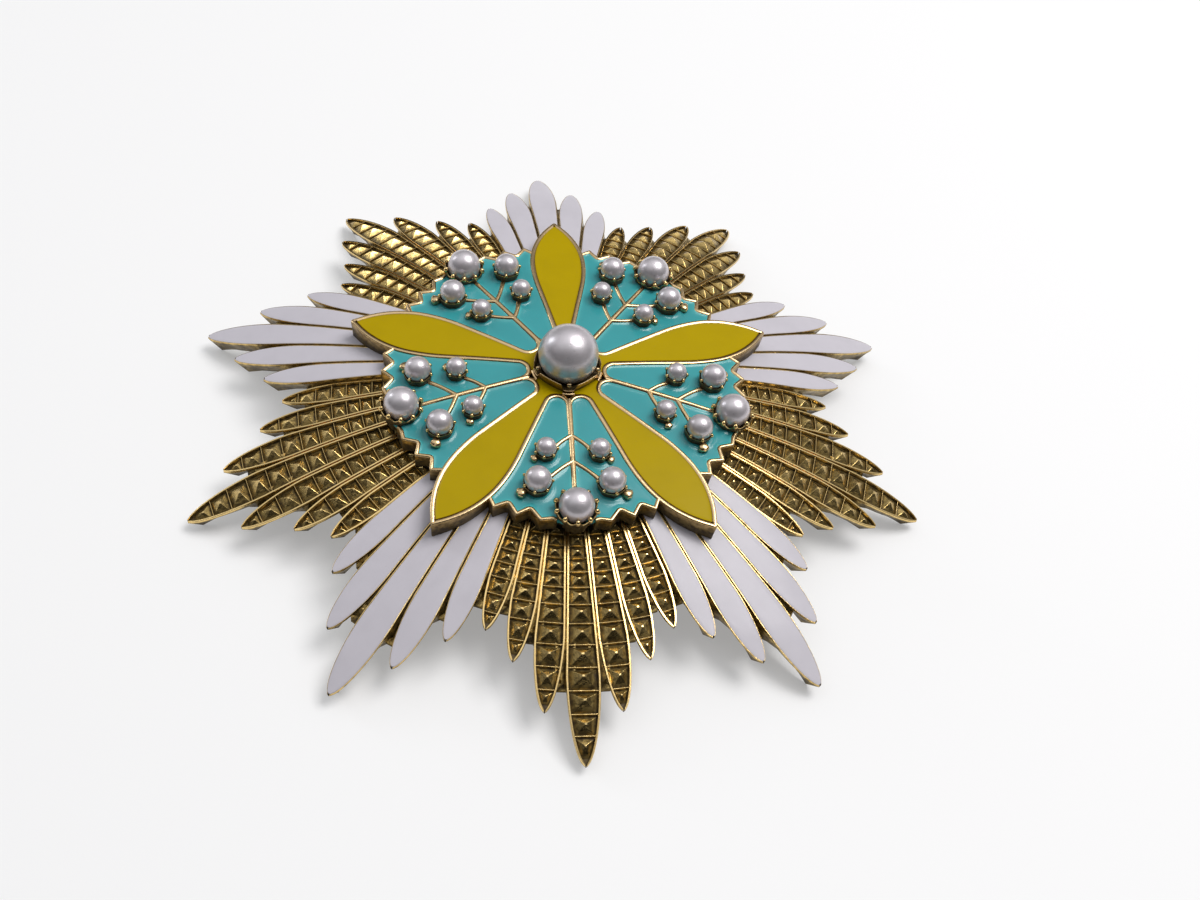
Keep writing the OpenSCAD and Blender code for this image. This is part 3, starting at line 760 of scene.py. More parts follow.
def white_fill(shape, s, tip_r, angle):
    """The enamel of a white feather: nearly flush, and a little lower at its edges."""
    one = Shape()
    across = np.array([-1, -0.97, -0.9, -0.6, 0, 0.6, 0.9, 0.97, 1])
    climb = np.array([-0.05, -0.01, 0.01, 0.02, 0.02, 0.02, 0.01, -0.01, -0.05])
    into_rim, thick = 0.02, 0.25
    loops = []
    for r in white_radii(s, tip_r, 10, gap=0.12):
        half = max(0.04, inside_rim(s.half_w(r, tip_r), s.white_rim(r, tip_r)) + into_rim)
        top = s.face_z(r) + s.white_rise
        low = top - thick
        upper = [(r, half * u, top + c) for u, c in zip(across, climb)]
        loops.append(upper + [(r, half, low), (r, -half, low)])
    # The depths paint shade on the enamel towards its edges.
    one.loft(loops, [1, 0.4, 0, 0, 0, 0, 0, 0.4, 1, 1, 1])
    shape.add_turned(one, angle)


def boss(shape, s):
    """The plain middle of the plate, out of sight under the medallion."""
    bore_r, overlap, segments = 0.5, 0.3, 72
    radii = np.linspace(bore_r, ROOT_R + overlap, 6)
    loops = []
    for a in np.linspace(0, 2 * math.pi, segments, endpoint=False):
        upper = [(r, s.face_z(r) + s.white_rise + 0.03) for r in radii]
        lower = [(r, s.face_z(r) - s.plate_t) for r in radii[::-1]]
        loops.append([(r * math.cos(a), r * math.sin(a), z) for r, z in upper + lower])
    shape.loft(loops, 0.9, ring=True)


# Medallion


def petal_side(s):
    """One side of a petal from its root to its point: straight, swell, pointed end."""
    root_r, point_len, swell_r, flare, steps = 2.2, 8.35, 20, math.radians(12.6), 14
    wide_r = s.petal_r - point_len
    point_r = (point_len**2 + s.petal_half_w**2) / (2 * s.petal_half_w)
    point_angle = math.asin(point_len / point_r)
    start = (wide_r - swell_r * math.sin(flare), s.petal_half_w - swell_r * (1 - math.cos(flare)))
    straight = np.linspace(root_r, start[0], 8)[:-1]
    side = [(r, start[1] - (start[0] - r) * math.tan(flare)) for r in straight]
    for k in range(steps // 2):
        a = flare * (1 - 2 * k / steps)
        side.append((wide_r - swell_r * math.sin(a), s.petal_half_w - swell_r * (1 - math.cos(a))))
    for k in range(steps):
        a = point_angle * k / steps
        side.append((wide_r + point_r * math.sin(a), s.petal_half_w - point_r * (1 - math.cos(a))))
    return np.array(side)


class CellEnd:
    """The round inner end of a lobe's cell, in the plan of the petal along +X: an arc that touches
    the petal's side and the side of the stem."""

    radius = 1.04
    stem_half_w = 0.36

    def __init__(self, s):
        side = petal_side(s)
        flare = math.atan2(side[1, 1] - side[0, 1], side[1, 0] - side[0, 0])
        stem = RAY_TURN / 2
        along_side, along_stem = (np.array([math.cos(a), math.sin(a)]) for a in (flare, stem))
        beside = np.array([math.sin(stem), -math.cos(stem)]) * self.stem_half_w
        t = np.linalg.solve(np.column_stack([along_stem, -along_side]), side[0] - beside)[0]
        apex = beside + along_stem * t
        opening = (stem - flare) / 2
        between = np.array([math.cos(flare + opening), math.sin(flare + opening)])
        self.middle = apex + self.radius / math.sin(opening) * between
        angles = np.linspace(stem + math.pi / 2, flare + 3 * math.pi / 2, 15)
        self.arc = self.middle + self.radius * np.column_stack([np.cos(angles), np.sin(angles)])


def petal_path(s):
    """A petal's outline from stem to stem, anticlockwise seen from above, with the ends of the two
    cells beside it."""
    side = petal_side(s)
    arc = CellEnd(s).arc
    half = np.vstack([arc, side[side[:, 0] > arc[-1, 0] + 0.1]])
    t = np.array([[0.25], [0.5], [0.75]])
    bluntness = 0.35
    beyond = np.array([s.petal_r + bluntness, 0])
    tip = (1 - t) ** 2 * half[-1] * [1, -1] + 2 * t * (1 - t) * beyond + t**2 * half[-1]
    return np.vstack([half * [1, -1], tip, half[::-1]])


def mitres(path):
    """For each point of an open path, the step to the left that moves both edges in by one."""
    before = np.vstack([2 * path[0] - path[1], path[:-1]])
    after = np.vstack([path[1:], 2 * path[-1] - path[-2]])
    first, second = path - before, after - path
    first /= np.linalg.norm(first, axis=1)[:, None]
    second /= np.linalg.norm(second, axis=1)[:, None]
    n1 = np.column_stack([-first[:, 1], first[:, 0]])
    n2 = np.column_stack([-second[:, 1], second[:, 0]])
    return (n1 + n2) / (1 + (n1 * n2).sum(1))[:, None]


def rounded(path, reach):
    """An open path with the corners between its ends rounded."""
    steps = 3
    made = [path[0]]
    for before, here, after in zip(path, path[1:], path[2:]):
        a = here + (before - here) * min(0.4, reach / np.linalg.norm(before - here))
        b = here + (after - here) * min(0.4, reach / np.linalg.norm(after - here))
        for k in range(steps + 1):
            t = k / steps
            made.append((1 - t) ** 2 * a + 2 * t * (1 - t) * here + t**2 * b)
    return np.array(made + [path[-1]])


# Profile of a rim's top: share of its width inwards from the outline, height over the face, depth
RIM_TOP = ((0.0, -0.34, 0.6), (0.0, -0.15, 0.4), (0.06, -0.06, 0.12), (0.2, -0.012, 0.0),
           (0.42, 0.0, 0.0), (0.66, -0.02, 0.0), (0.86, -0.075, 0.12), (1.0, -0.15, 0.5))


def rim_loops(s, path, width, foot_in=0.18):
    """Sections of a rim whose outer wall goes down to just above the rays and leans in at its foot."""
    above_rays = 0.1
    steps = mitres(path)
    r = np.linalg.norm(path, axis=1)
    top = s.medallion_z(r)
    foot = s.face_z(r) + s.white_rise + above_rays
    rings, depths = [], []

    def ring(inwards, z, depth):
        flat = path + steps * inwards
        rings.append(np.column_stack([flat, z]))
        depths.append(depth)

    ring(foot_in, foot, 1.0)
    ring(foot_in * 0.55, foot + (top - foot) * 0.45, 0.85)
    ring(0.0, top - 0.55, 0.55)
    for inwards, dz, depth in RIM_TOP:
        ring(inwards * width, top + dz, depth)
    ring(width, top - s.recess, 0.9)
    ring(width, foot, 0.9)
    return np.array(rings).transpose(1, 0, 2), depths


def notch_depth(s, place):
    """Depth of the zigzag at a place counted in half teeth: shallow beside the large pearl."""
    beside_pearl, shallow = 3, 0.3
    return s.zigzag_depth * np.where(np.abs(place) < beside_pearl, shallow, 1)


def zigzag_path(s, first, last):
    """The lobe's zigzag edge between two angles, counted in half teeth from the lobe's middle."""
    ends = []
    for k in (first, *range(math.ceil(first + 0.01), math.ceil(last)), last):
        low, high = math.floor(k), math.ceil(k)
        radius = [s.zigzag_r - notch_depth(s, j) * (j % 2 == 0) for j in (low, high)]
        r = radius[0] + (radius[1] - radius[0]) * (k - low)
        ends.append((r * math.cos(k * HALF_TOOTH), r * math.sin(k * HALF_TOOTH)))
    return np.array(ends)


def arc_path(radius, half_angle):
    """An arc about the star's axis that is cut in two by +X."""
    angles = np.linspace(-half_angle, half_angle, 8)
    return np.column_stack([radius * np.cos(angles), radius * np.sin(angles)])


class Lobe:
    """Places on a lobe that lies along +X: pearls, forks and what stands out of its enamel."""

    large, medium, small = (20.0, 0.0), (17.3, math.radians(13.7)), (12.9, math.radians(13.5))
    large_d, medium_d, small_d = 3.95, 3.0, 2.3
    large_h, medium_h, small_h = 1.05, 1.2, 1.1
    inner_fork, outer_fork, inner_end = 10.2, 13.7, 4.2
    stem_start, stem_end, stem_points = 4.8, 18.1, 24
    stem_foot_half_w, stem_end_half_w, knot_rise, knot_reach = 0.42, 0.28, 0.06, 0.35
    branch_half_w, branch_flare, branch_bow = 0.25, 0.07, 0.1

    @staticmethod
    def at(place, side=1):
        """The point at a radius and an angle, on this side of the lobe."""
        r, a = place
        return np.array([r * math.cos(a), side * r * math.sin(a)])

    def pearls(self):
        """Middle, diameter and height over the face of each pearl."""
        yield self.at(self.large), self.large_d, self.large_h
        for side in (-1, 1):
            yield self.at(self.medium, side), self.medium_d, self.medium_h
            yield self.at(self.small, side), self.small_d, self.small_h

    def branches(self):
        """Side and fork of each branch, and the middle and diameter of the pearl at its end."""
        for side in (-1, 1):
            yield side, self.inner_fork, self.at(self.small, side), self.small_d
            yield side, self.outer_fork, self.at(self.medium, side), self.medium_d

    def wires(self):
        """Paths of the stem and branches, each with its half widths from start to end."""
        along = np.linspace(self.stem_start, self.stem_end, self.stem_points)
        forks = (self.inner_fork, self.outer_fork)
        knots = sum(np.exp(-((along - fork - 0.1) / self.knot_reach) ** 2) for fork in forks)
        widths = np.linspace(self.stem_foot_half_w, self.stem_end_half_w, self.stem_points)
        yield np.column_stack([along, 0 * along]), widths + self.knot_rise * knots
        for side, fork, end, d in self.branches():
            start = np.array([fork - 0.25, 0.0])
            reach = end - start
            end = start + reach * (1 - (d / 2 + 0.1) / np.linalg.norm(reach))
            out = np.array([-reach[1], reach[0]]) / np.linalg.norm(reach) * side
            t = np.linspace(0, 1, 9)[:, None]
            path = start + (end - start) * t + out * self.branch_bow * np.sin(math.pi * t)
            yield path, self.branch_half_w + self.branch_flare * np.abs(1 - 2 * t[:, 0]) ** 2


def lobe_pearls(s):
    """Middle, diameter, height over the face, radius and angle of each pearl of all lobes."""
    for ray in range(RAYS):
        turn = s.lobe_start + ray * RAY_TURN
        for at, d, h in Lobe().pearls():
            r = float(np.linalg.norm(at))
            a = math.atan2(at[1], at[0]) + turn
            yield (r * math.cos(a), r * math.sin(a), float(s.medallion_z(r)) + h), d, h, r, a


def half_angle_table(s):
    """Radii along the petal's side, and their angles from the stem of the lobe beside it."""
    side = petal_side(s)
    return np.hypot(side[:, 0], side[:, 1]), RAY_TURN / 2 - np.arctan2(side[:, 1], side[:, 0])


def distance_to(path, points):
    """Distance of each point from an open path."""
    best = np.full(len(points), 1e9)
    for a, b in zip(path, path[1:]):
        edge = b - a
        t = np.clip(((points - a) @ edge) / (edge @ edge), 0, 1)
        best = np.minimum(best, np.linalg.norm(points - a - t[:, None] * edge, axis=1))
    return best


def turquoise_pool(s, lobe):
    """A lobe's enamel as one closed slab whose top climbs a little wherever metal stands in it."""
    columns, rows = 120, 150
    width_start, width_len, under_rim, inside_edge, cup_wall = 5, 15.7, 0.12, 0.22, 0.3
    climb_h, climb_reach, cup_reach = 0.13, 0.16, 0.3
    table_r, table_a = half_angle_table(s)
    u = np.linspace(-1, 1, columns)
    v = np.linspace(0, 1, rows)
    grid_u, grid_v = np.meshgrid(u, v)
    end = CellEnd(s)
    end_r = float(np.hypot(*end.middle))
    end_a = RAY_TURN / 2 - math.atan2(end.middle[1], end.middle[0])
    nominal = width_start + grid_v * width_len
    angle = grid_u * (np.interp(nominal, table_r, table_a) + under_rim / nominal)
    phase = np.abs(angle) / HALF_TOOTH % 2
    edge_r = s.zigzag_r - notch_depth(s, angle / HALF_TOOTH) * np.abs(1 - phase) - inside_edge
    off = np.abs(angle) - end_a
    reach = np.clip((end.radius + under_rim) ** 2 - (end_r * np.sin(off)) ** 2, 0, None)
    start_r = end_r * np.cos(off) - np.sqrt(reach)
    r = start_r + grid_v * (edge_r - start_r)
    flat = np.column_stack([(r * np.cos(angle)).ravel(), (r * np.sin(angle)).ravel()])
    metal = [distance_to(path, flat) - widths.mean() for path, widths in lobe.wires()]
    whole = petal_path(s)
    outline = whole[len(whole) // 2 + 1:]
    for sign in (-1, 1):
        side = np.column_stack([outline * [1, -sign], outline[:, 0] * 0])
        metal.append(distance_to(turned(side, sign * RAY_TURN / 2)[:, :2], flat))
    metal.append(distance_to(zigzag_path(s, -8, 8), flat) - s.edge_w)
    cups = [np.linalg.norm(flat - at, axis=1) - d / 2 - cup_wall for at, d, _ in lobe.pearls()]
    gap = np.clip(np.min(metal + cups, 0), 0, None)
    # Painted shade of the cups, which takes the painted highlight away next to them
    cup_shade = np.exp(-np.clip(np.min(cups, 0), 0, None) / cup_reach)
    climb = np.exp(-gap / climb_reach)
    top = s.medallion_z(np.hypot(*flat.T)) - s.turquoise_drop + climb_h * climb
    upper = np.column_stack([flat, top])
    lower = np.column_stack([flat, s.medallion_z(np.hypot(*flat.T)) - s.recess - 0.1])
    total = rows * columns
    index = np.arange(total).reshape(rows, columns)
    quads = np.stack([index[:-1, :-1], index[:-1, 1:], index[1:, 1:], index[1:, :-1]], -1).reshape(-1, 4)
    border = [*index[0], *index[1:, -1], *index[-1, -2::-1], *index[-2:0:-1, 0]]
    faces = quads.tolist()
    low = {k: total + n for n, k in enumerate(border)}
    faces += [[a, b, low[b], low[a]] for a, b in zip(border, border[1:] + border[:1])]
    faces.append([low[k] for k in border])
    shape = Shape()
    # The depth paints a highlight where the enamel climbs the metal, less next to the cups.
    depths = np.concatenate([np.clip(climb * (1 - 1.6 * cup_shade), -1, 1), np.ones(len(border))])
    shape.add(np.vstack([upper, lower[border]]).tolist(), faces, depths)
    return shape


def yellow_pool(s):
    """A petal's enamel, almost level with its rim, which spreads along the collar at its root."""
    path = petal_path(s)
    inner = (path + mitres(path) * (s.rim_w - 0.03))[len(path) // 2 + 1:]
    r, a = np.hypot(*inner.T), np.arctan2(inner[:, 1], inner[:, 0])
    nearest = int(np.argmin(r))
    r, a = r[nearest::-1], a[nearest::-1]
    root_a = math.radians(34.5)
    neck_r, point_r = 6, s.petal_r - 3
    radii = np.concatenate([[3.4, 3.8, r.min() - 0.06], np.linspace(r.min() + 0.01, neck_r, 10),
                            np.linspace(neck_r, point_r, 24)[1:],
                            np.linspace(point_r, r.max() - 0.04, 12)[1:]])
    across = np.array([-1, -0.985, -0.96, -0.9, -0.8, -0.6, -0.3, 0, 0.3, 0.6, 0.8, 0.9, 0.96, 0.985, 1])
    climb_h, climb_reach, edge_shade_reach = 0.05, 0.14, 0.05
    loops, depths = [], []
    for radius in radii:
        half = root_a if radius < r.min() else float(np.interp(radius, r, a))
        angles = half * across
        gap = (half - np.abs(angles)) * radius
        top = s.medallion_z(radius) - s.yellow_drop + climb_h * np.exp(-gap / climb_reach)
        low = s.medallion_z(radius) - s.recess
        loops.append([(radius * math.cos(b), radius * math.sin(b), z) for b, z in zip(angles, top)]
                     + [(radius * math.cos(b), radius * math.sin(b), low) for b in (half, 0, -half)])
        # The depths paint shade in a thin line where the enamel meets the rim.
        depths.append([*np.exp(-gap / edge_shade_reach), 1, 1, 1])
    shape = Shape()
    shape.loft(loops, depths)
    return shape


# Cups and leaves


def lathe(shape, profile, depths, segments, flutes, flute, crown=0.0):
    """Turns a closed profile of (radius, height, share of flute, share of crown) about Z. The flutes
    move its radius in and out by flute, and its height up and down by crown."""
    loops = []
    for k in range(segments):
        a = 2 * math.pi * k / segments
        wave = math.cos(flutes * a)
        loop = []
        for r, z, fluted, crowned in profile:
            rr = r + flute * fluted * wave
            loop.append((rr * math.cos(a), rr * math.sin(a), z + crown * crowned * wave))
        loops.append(loop)
    shape.loft(loops, depths, ring=True)


def claw(width, height):
    """One claw: a small bead, longer than it is wide, that stands at the origin."""
    shape = Shape()
    profile = [(0.02, -0.5), (0.42, -0.4), (0.5, -0.05), (0.46, 0.2), (0.26, 0.42), (0.02, 0.5)]
    sides = 8
    loops = []
    for k in range(sides):
        a = 2 * math.pi * k / sides
        loops.append([(r * width * math.cos(a), r * width * math.sin(a), z * height) for r, z in profile])
    shape.loft(loops, [0.9, 0.5, 0.1, 0.0, 0.0, 0.0], ring=True)
    return shape.object("claw", crease=80)


def cup(name, d, foot, claws, material, large):
    """A fluted cup with its claws. Its pearl's middle is at the origin, and foot is how far down it
    goes. The profile goes up the outside and down into the bowl."""
    r = d / 2
    shape = Shape()
    if large:
        profile = [(r * 0.5, -foot, 0, 0), (r * 0.78, -foot, 0.5, 0), (r * 0.84, -foot + 0.5, 0.8, 0),
                   (r * 0.98, -foot * 0.5, 1, 0), (r + 0.2, -r * 0.62, 0.8, 0.4),
                   (r + 0.4, -r * 0.22, 0.7, 1), (r + 0.34, -r * 0.16, 0.6, 1),
                   (r + 0.12, -r * 0.34, 0.2, 0.4), (r * 0.8, -r * 0.74, 0, 0)]
        depths = [1, 1, 1, 1, 0.95, 0.6, 0.0, 0.8, 1]
        lathe(shape, profile, depths, segments=claws * 10, flutes=claws, flute=0.13, crown=0.3)
        bead, ring_r, bead_z = claw(width=0.58, height=0.72), r + 0.34, -r * 0.06
    else:
        profile = [(r * 0.4, -foot, 0, 0), (r - 0.08, -foot, 0.6, 0), (r + 0.03, -r * 0.75, 1, 0),
                   (r + 0.12, -r * 0.4, 0.7, 0), (r + 0.1, -r * 0.3, 0.5, 0),
                   (r + 0.02, -r * 0.34, 0.2, 0), (r * 0.8, -r * 0.74, 0, 0)]
        depths = [1, 1, 0.95, 0.6, 0.3, 0.8, 1]
        lathe(shape, profile, depths, segments=claws * 10, flutes=claws, flute=0.05)
        bead, ring_r, bead_z = claw(width=0.38, height=0.46), r + 0.13, -r * 0.2
    lean = math.radians(-14)
    body = shape.object(name, material, crease=50)
    angles = [2 * math.pi * k / claws for k in range(claws)]
    places = [(ring_r * math.cos(a), ring_r * math.sin(a), bead_z) for a in angles]
    turns = [(0, lean, a) for a in angles]
    claws_made = on_points(bead, places, [1] * claws, turns, name + "_claws", material)
    return joined(name, body, claws_made)


# Sections of a leaf point: share of its length, half width and height as shares of its size
LEAF = ((0, 0.16, 0.3), (0.25, 0.24, 0.36), (0.5, 0.46, 0.42), (0.78, 0.56, 0.4), (0.94, 0.36, 0.28),
        (1, 0.08, 0.06))


def leaf(shape, at, angle, start, size, z):
    """A gilt leaf point beyond a cup, with its narrow end at the cup. It starts so far from the cup's
    middle, and lies on the enamel at z."""
    loops, depths = [], []
    slenderness = 1.3
    around = np.linspace(0, 2 * math.pi, 12, endpoint=False)
    for t, half, rise in LEAF:
        loops.append([(start + t * slenderness * size, half * size * math.cos(b),
                       z + rise * size * min(1, 1.5 * max(math.sin(b), -0.3))) for b in around])
        depths.append([0.6 if math.sin(b) < -0.1 else 0.0 for b in around])
    shape.loft(turned(loops, angle) + [at[0], at[1], 0], depths)


# Operators: one for each piece or group of like pieces


class STAR_OT_gold_rays(bpy.types.Operator):
    """Builds the five gold rays with their rows of pyramids"""

    bl_idname = "star.gold_rays"
    bl_label = "Gold Rays"

    def execute(self, context):
        s = Sizes()
        ray = Shape()
        for k in range(-3, 4):
            gold_feather(ray, s, s.star_r * GOLD_TIPS[abs(k)], k * FEATHER_PITCH)
        for side in (-1, 1):
            for k in (1, 2, 3):
                tip_r, angle = s.star_r * GOLD_TIPS[k], side * (k - 0.5) * FEATHER_PITCH
                crotch(ray, s, tip_r, angle)
                seam(ray, s, tip_r, angle, rise=0.03, depth=0.4)
            crotch(ray, s, s.star_r * GOLD_TIPS[3], side * 3.5 * FEATHER_PITCH)
        rays = round_the_star(ray, "gold_rays", gilt("gilt_metal"), GOLD_START, crease=20)
        hand_over(rays, "gold", "star_plate")
        return {"FINISHED"}


class STAR_OT_white_rays(bpy.types.Operator):
    """Builds the metal of the five white rays, and the middle of the plate"""

    bl_idname = "star.white_rays"
    bl_label = "White Rays"

    def execute(self, context):
        s = Sizes()
        ray = Shape()
        for k in range(-2, 3):
            white_feather(ray, s, s.star_r * WHITE_TIPS[abs(k)], k * FEATHER_PITCH)
        for side in (-1, 1):
            for k in (1, 2):
                tip_r, angle = s.star_r * WHITE_TIPS[k], side * (k - 0.5) * FEATHER_PITCH
                crotch(ray, s, tip_r, angle)
                seam(ray, s, tip_r, angle, rise=s.white_rise, depth=0.7)
        rays = round_the_star(ray, "white_rays", gilt("gilt_metal"), WHITE_START, crease=20)
        middle = Shape()
        boss(middle, s)
        rays = joined("white_rays", rays, middle.object("boss", gilt("gilt_metal")))
        hand_over(rays, "gold", "star_plate")
        return {"FINISHED"}


class STAR_OT_white_enamel(bpy.types.Operator):
    """Fills the white feathers with enamel"""

    bl_idname = "star.white_enamel"
    bl_label = "White Enamel"

    def execute(self, context):
        s = Sizes()
        ray = Shape()
        for k in range(-2, 3):
            white_fill(ray, s, s.star_r * WHITE_TIPS[abs(k)], k * FEATHER_PITCH)
        looks = context.scene.star_finishes
        # Brownish painted shade where the white enamel meets the metal
        finish = enamel("white_enamel", tuple(looks.white), (0.34, 0.29, 0.24),
                        edge_strength=0.3, roughness=0.4, gloss=0.3)
        fill = round_the_star(ray, "white_filling", finish, WHITE_START, crease=60)
        hand_over(fill, "white_enamel", *[f"white_enamel_{k}" for k in range(1, RAYS + 1)])
        return {"FINISHED"}


class STAR_OT_medallion(bpy.types.Operator):
    """Builds the medallion's rims, walls, stems, branches, leaf points and collar"""

    bl_idname = "star.medallion"
    bl_label = "Medallion"

    def execute(self, context):
        s = Sizes()
        lobe = Lobe()
        metal = gilt("gilt_rims", tint="rose_gold", roughness=0.22)
        petal = Shape()
        loops, depths = rim_loops(s, petal_path(s), s.rim_w)
        petal.loft(loops, depths)
        petals = round_the_star(petal, "petal_rims", metal, s.petal_start, crease=40)
        edge = Shape()
        # The rim runs from beside the large cup to the petal's side, in half teeth
        edge_start, edge_end, leaf_turn = 1.65, 7.9, math.radians(8)
        for sign in (-1, 1):
            path = rounded(zigzag_path(s, edge_start, edge_end), reach=0.22)
            path = path if sign > 0 else path[::-1] * [1, -1]
            loops, depths = rim_loops(s, path, s.edge_w, foot_in=0.1)
            edge.loft(loops, depths)
        loops, depths = rim_loops(s, arc_path(lobe.inner_end, half_angle=0.17), s.rim_w, foot_in=0.0)
        edge.loft(loops, depths)
        for side, fork, at, d in lobe.branches():
            angle = math.atan2(at[1], at[0] - fork) + side * leaf_turn
            z = float(s.medallion_z(np.linalg.norm(at))) - 0.1
            leaf(edge, at, angle, start=d / 2 - 0.42, size=d / 2.6, z=z)
        edges = round_the_star(edge, "lobe_edges", metal, s.lobe_start, crease=40)
        wires = self.wires(s, lobe, metal)
        piece = joined("medallion_metal", petals, edges, wires, self.collar(s, metal))
        hand_over(piece, "gold", "medallion")
        return {"FINISHED"}

    @staticmethod
    def wires(s, lobe, metal):
        """The raised stems and branches of all lobes, swept along their paths."""
        above_face = 0.06
        curve = bpy.data.curves.new("stem_paths", "CURVE")
        curve.dimensions = "3D"
        for ray in range(RAYS):
            turn = s.lobe_start + ray * RAY_TURN
            for path, widths in lobe.wires():
                z = s.medallion_z(np.linalg.norm(path, axis=1)) + above_face - widths
                placed = turned(np.column_stack([path, z]), turn) * MM
                spline = curve.splines.new("POLY")
                spline.points.add(len(path) - 1)
                spline.points.foreach_set("co", np.column_stack([placed, np.ones(len(path))]).ravel())
                spline.points.foreach_set("radius", (widths * MM).astype(np.float32))
        source = bpy.data.objects.new("stem_paths", curve)
        bpy.context.scene.collection.objects.link(source)
        return grow(source, tree_of("wires_along_paths"), "stems", Sides=10, Material=metal)

    @staticmethod
    def collar(s, metal):
        """The thin flared collar round the centre pearl, almost straight from notch to notch."""
        segments, notch_h, notch_half_a, notch_steepness, flattening = 240, 0.85, 0.2, 60, 0.032
        inside_r, wall_r, bead_drop, bead_lean = 3.0, 3.62, 0.22, 0.3
        shape = Shape()
        top = s.medallion_top
        foot = top - 0.9
        loops = []
        for k in range(segments):
            a = 2 * math.pi * k / segments
            off = (a - s.lobe_start + RAY_TURN / 2) % RAY_TURN - RAY_TURN / 2
            notch = 1 / (1 + math.exp((abs(off) - notch_half_a) * notch_steepness))
            wide = 1 - flattening * (1 - math.cos(RAYS * off))
            rim = top + s.collar_h - notch_h * notch
            profile = ((inside_r, foot), (3.66, foot), (3.7, top), (3.78, top + 0.3), (4.0, rim - 0.07),
                       (4.02, rim - 0.01), (3.97, rim + 0.02), (3.88, rim - 0.05), (wall_r, top + 0.25),
                       (inside_r, top + 0.1))
            loops.append([(r * wide * math.cos(a), r * wide * math.sin(a), z) for r, z in profile])
        shape.loft(loops, [1, 1, 0.9, 0.55, 0.1, 0.0, 0.0, 0.5, 1, 1], ring=True)
        body = shape.object("collar", metal, crease=45)
        angles = [s.lobe_start + k * RAY_TURN for k in range(RAYS)]
        bead_z = top + s.collar_h - bead_drop
        places = [(wall_r * math.cos(a), wall_r * math.sin(a), bead_z) for a in angles]
        turns = [(0, bead_lean, a) for a in angles]
        bead = claw(width=0.62, height=0.5)
        beads = on_points(bead, places, [1] * RAYS, turns, "collar_beads", metal)
        return joined("collar", body, beads)


class STAR_OT_medallion_enamel(bpy.types.Operator):
    """Fills the petals with yellow enamel and the lobes with turquoise"""

    bl_idname = "star.medallion_enamel"
    bl_label = "Medallion Enamel"

    def execute(self, context):
        s = Sizes()
        looks = context.scene.star_finishes
        # Dark brown painted shade along the edges of the yellow enamel
        yellow = enamel("yellow_enamel", tuple(looks.yellow), (0.13, 0.07, 0.01),
                        edge_strength=0.7, roughness=0.3, gloss=0.07)
        pool = yellow_pool(s)
        fill = round_the_star(pool, "yellow_filling", yellow, s.petal_start, crease=60)
        hand_over(fill, "yellow_enamel", *[f"yellow_enamel_{k}" for k in range(1, RAYS + 1)])
        # Painted highlight in a lighter turquoise where the enamel climbs the metal
        turquoise = enamel("turquoise_enamel", tuple(looks.turquoise), tuple(looks.turquoise_light),
                           edge_strength=0.7, roughness=0.2, gloss=0.35)
        pool = turquoise_pool(s, Lobe())
        fill = round_the_star(pool, "turquoise_filling", turquoise, s.lobe_start, crease=60)
        hand_over(fill, "turquoise_enamel", *[f"turquoise_enamel_{k}" for k in range(1, 2 * RAYS + 1)])
        return {"FINISHED"}


class STAR_OT_cups(bpy.types.Operator):
    """Sets the clawed cups of the lobes"""

    bl_idname = "star.cups"
    bl_label = "Pearl Cups"

    def execute(self, context):
        s = Sizes()
        # The cups get extra painted shade, with grime, on their bodies.
        metal = gilt("gilt_cups", roughness=0.18, grime=0.4)
        kinds = {}
        for place, d, h, r, a in lobe_pearls(s):
            tilt = 0 if d == Lobe.large_d else r / s.medallion_dome_r
            kinds.setdefault((d, h), []).append((place, (0, tilt, a)))
        made = []
        for (d, h), sets in kinds.items():
            places, turns = zip(*sets)
            large = d == Lobe.large_d
            # A large cup goes down over the lobe's edge, and the others stand on the recess
            if large:
                r = Lobe.large[0]
                foot = float(s.medallion_z(r)) + h - float(s.face_z(r)) - 0.4
            else:
                foot = h + s.recess - 0.05
            claws = s.large_claws if large else s.small_claws
            name = f"cup_{round(d * 10)}"
            one = cup(name, d, foot, claws, metal, large)
            made.append(on_points(one, places, [1] * len(places), turns, name + "_set", metal))
        piece = joined("pearl_cups", *made)
        hand_over(piece, "gold", *[f"lobe_cups_{k}" for k in range(1, RAYS + 1)])
        return {"FINISHED"}


class STAR_OT_pearls(bpy.types.Operator):
    """Sets the pearl at the centre and the five of each lobe"""

    bl_idname = "star.pearls"
    bl_label = "Pearls"

    def execute(self, context):
        s = Sizes()
        ball = Shape()
        rings, segments = 26, 48
        down = [math.pi * (k + 0.5) / rings for k in range(rings)]
        around = np.linspace(0, 2 * math.pi, segments, endpoint=False)
        ball.loft([[(0.5 * math.sin(a) * math.cos(b), 0.5 * math.sin(a) * math.sin(b), 0.5 * math.cos(a))
                    for b in around] for a in down], 0.0)
        places, sizes = [(0, 0, s.medallion_top + CENTRE_PEARL_H)], [CENTRE_PEARL_D]
        for place, d, *_ in lobe_pearls(s):
            places.append(place)
            sizes.append(d)
        # Each pearl is turned another way, so that no two show the same bands and pits
        turns = [(0.4 * k, 0.7 * k, 1.1 * k) for k in range(len(places))]
        bead = ball.object("bead", crease=180)
        pearls = on_points(bead, places, sizes, turns, "pearls", pearl_material())
        nodes = ["pearl_centre", *[f"pearl_large_{k}" for k in range(1, RAYS + 1)],
                 *[f"pearl_{kind}_{k}" for kind in ("medium", "small") for k in range(1, 2 * RAYS + 1)]]
        hand_over(pearls, "pearl", *nodes)
        return {"FINISHED"}


class STAR_OT_pin(bpy.types.Operator):
    """Gilds the brooch pin in the hollow back"""

    bl_idname = "star.pin"
    bl_label = "Brooch Pin"

    def execute(self, context):
        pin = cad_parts["brooch_pin"]
        pin.data.materials.clear()
        pin.data.materials.append(gilt("gilt_pin"))
        return {"FINISHED"}


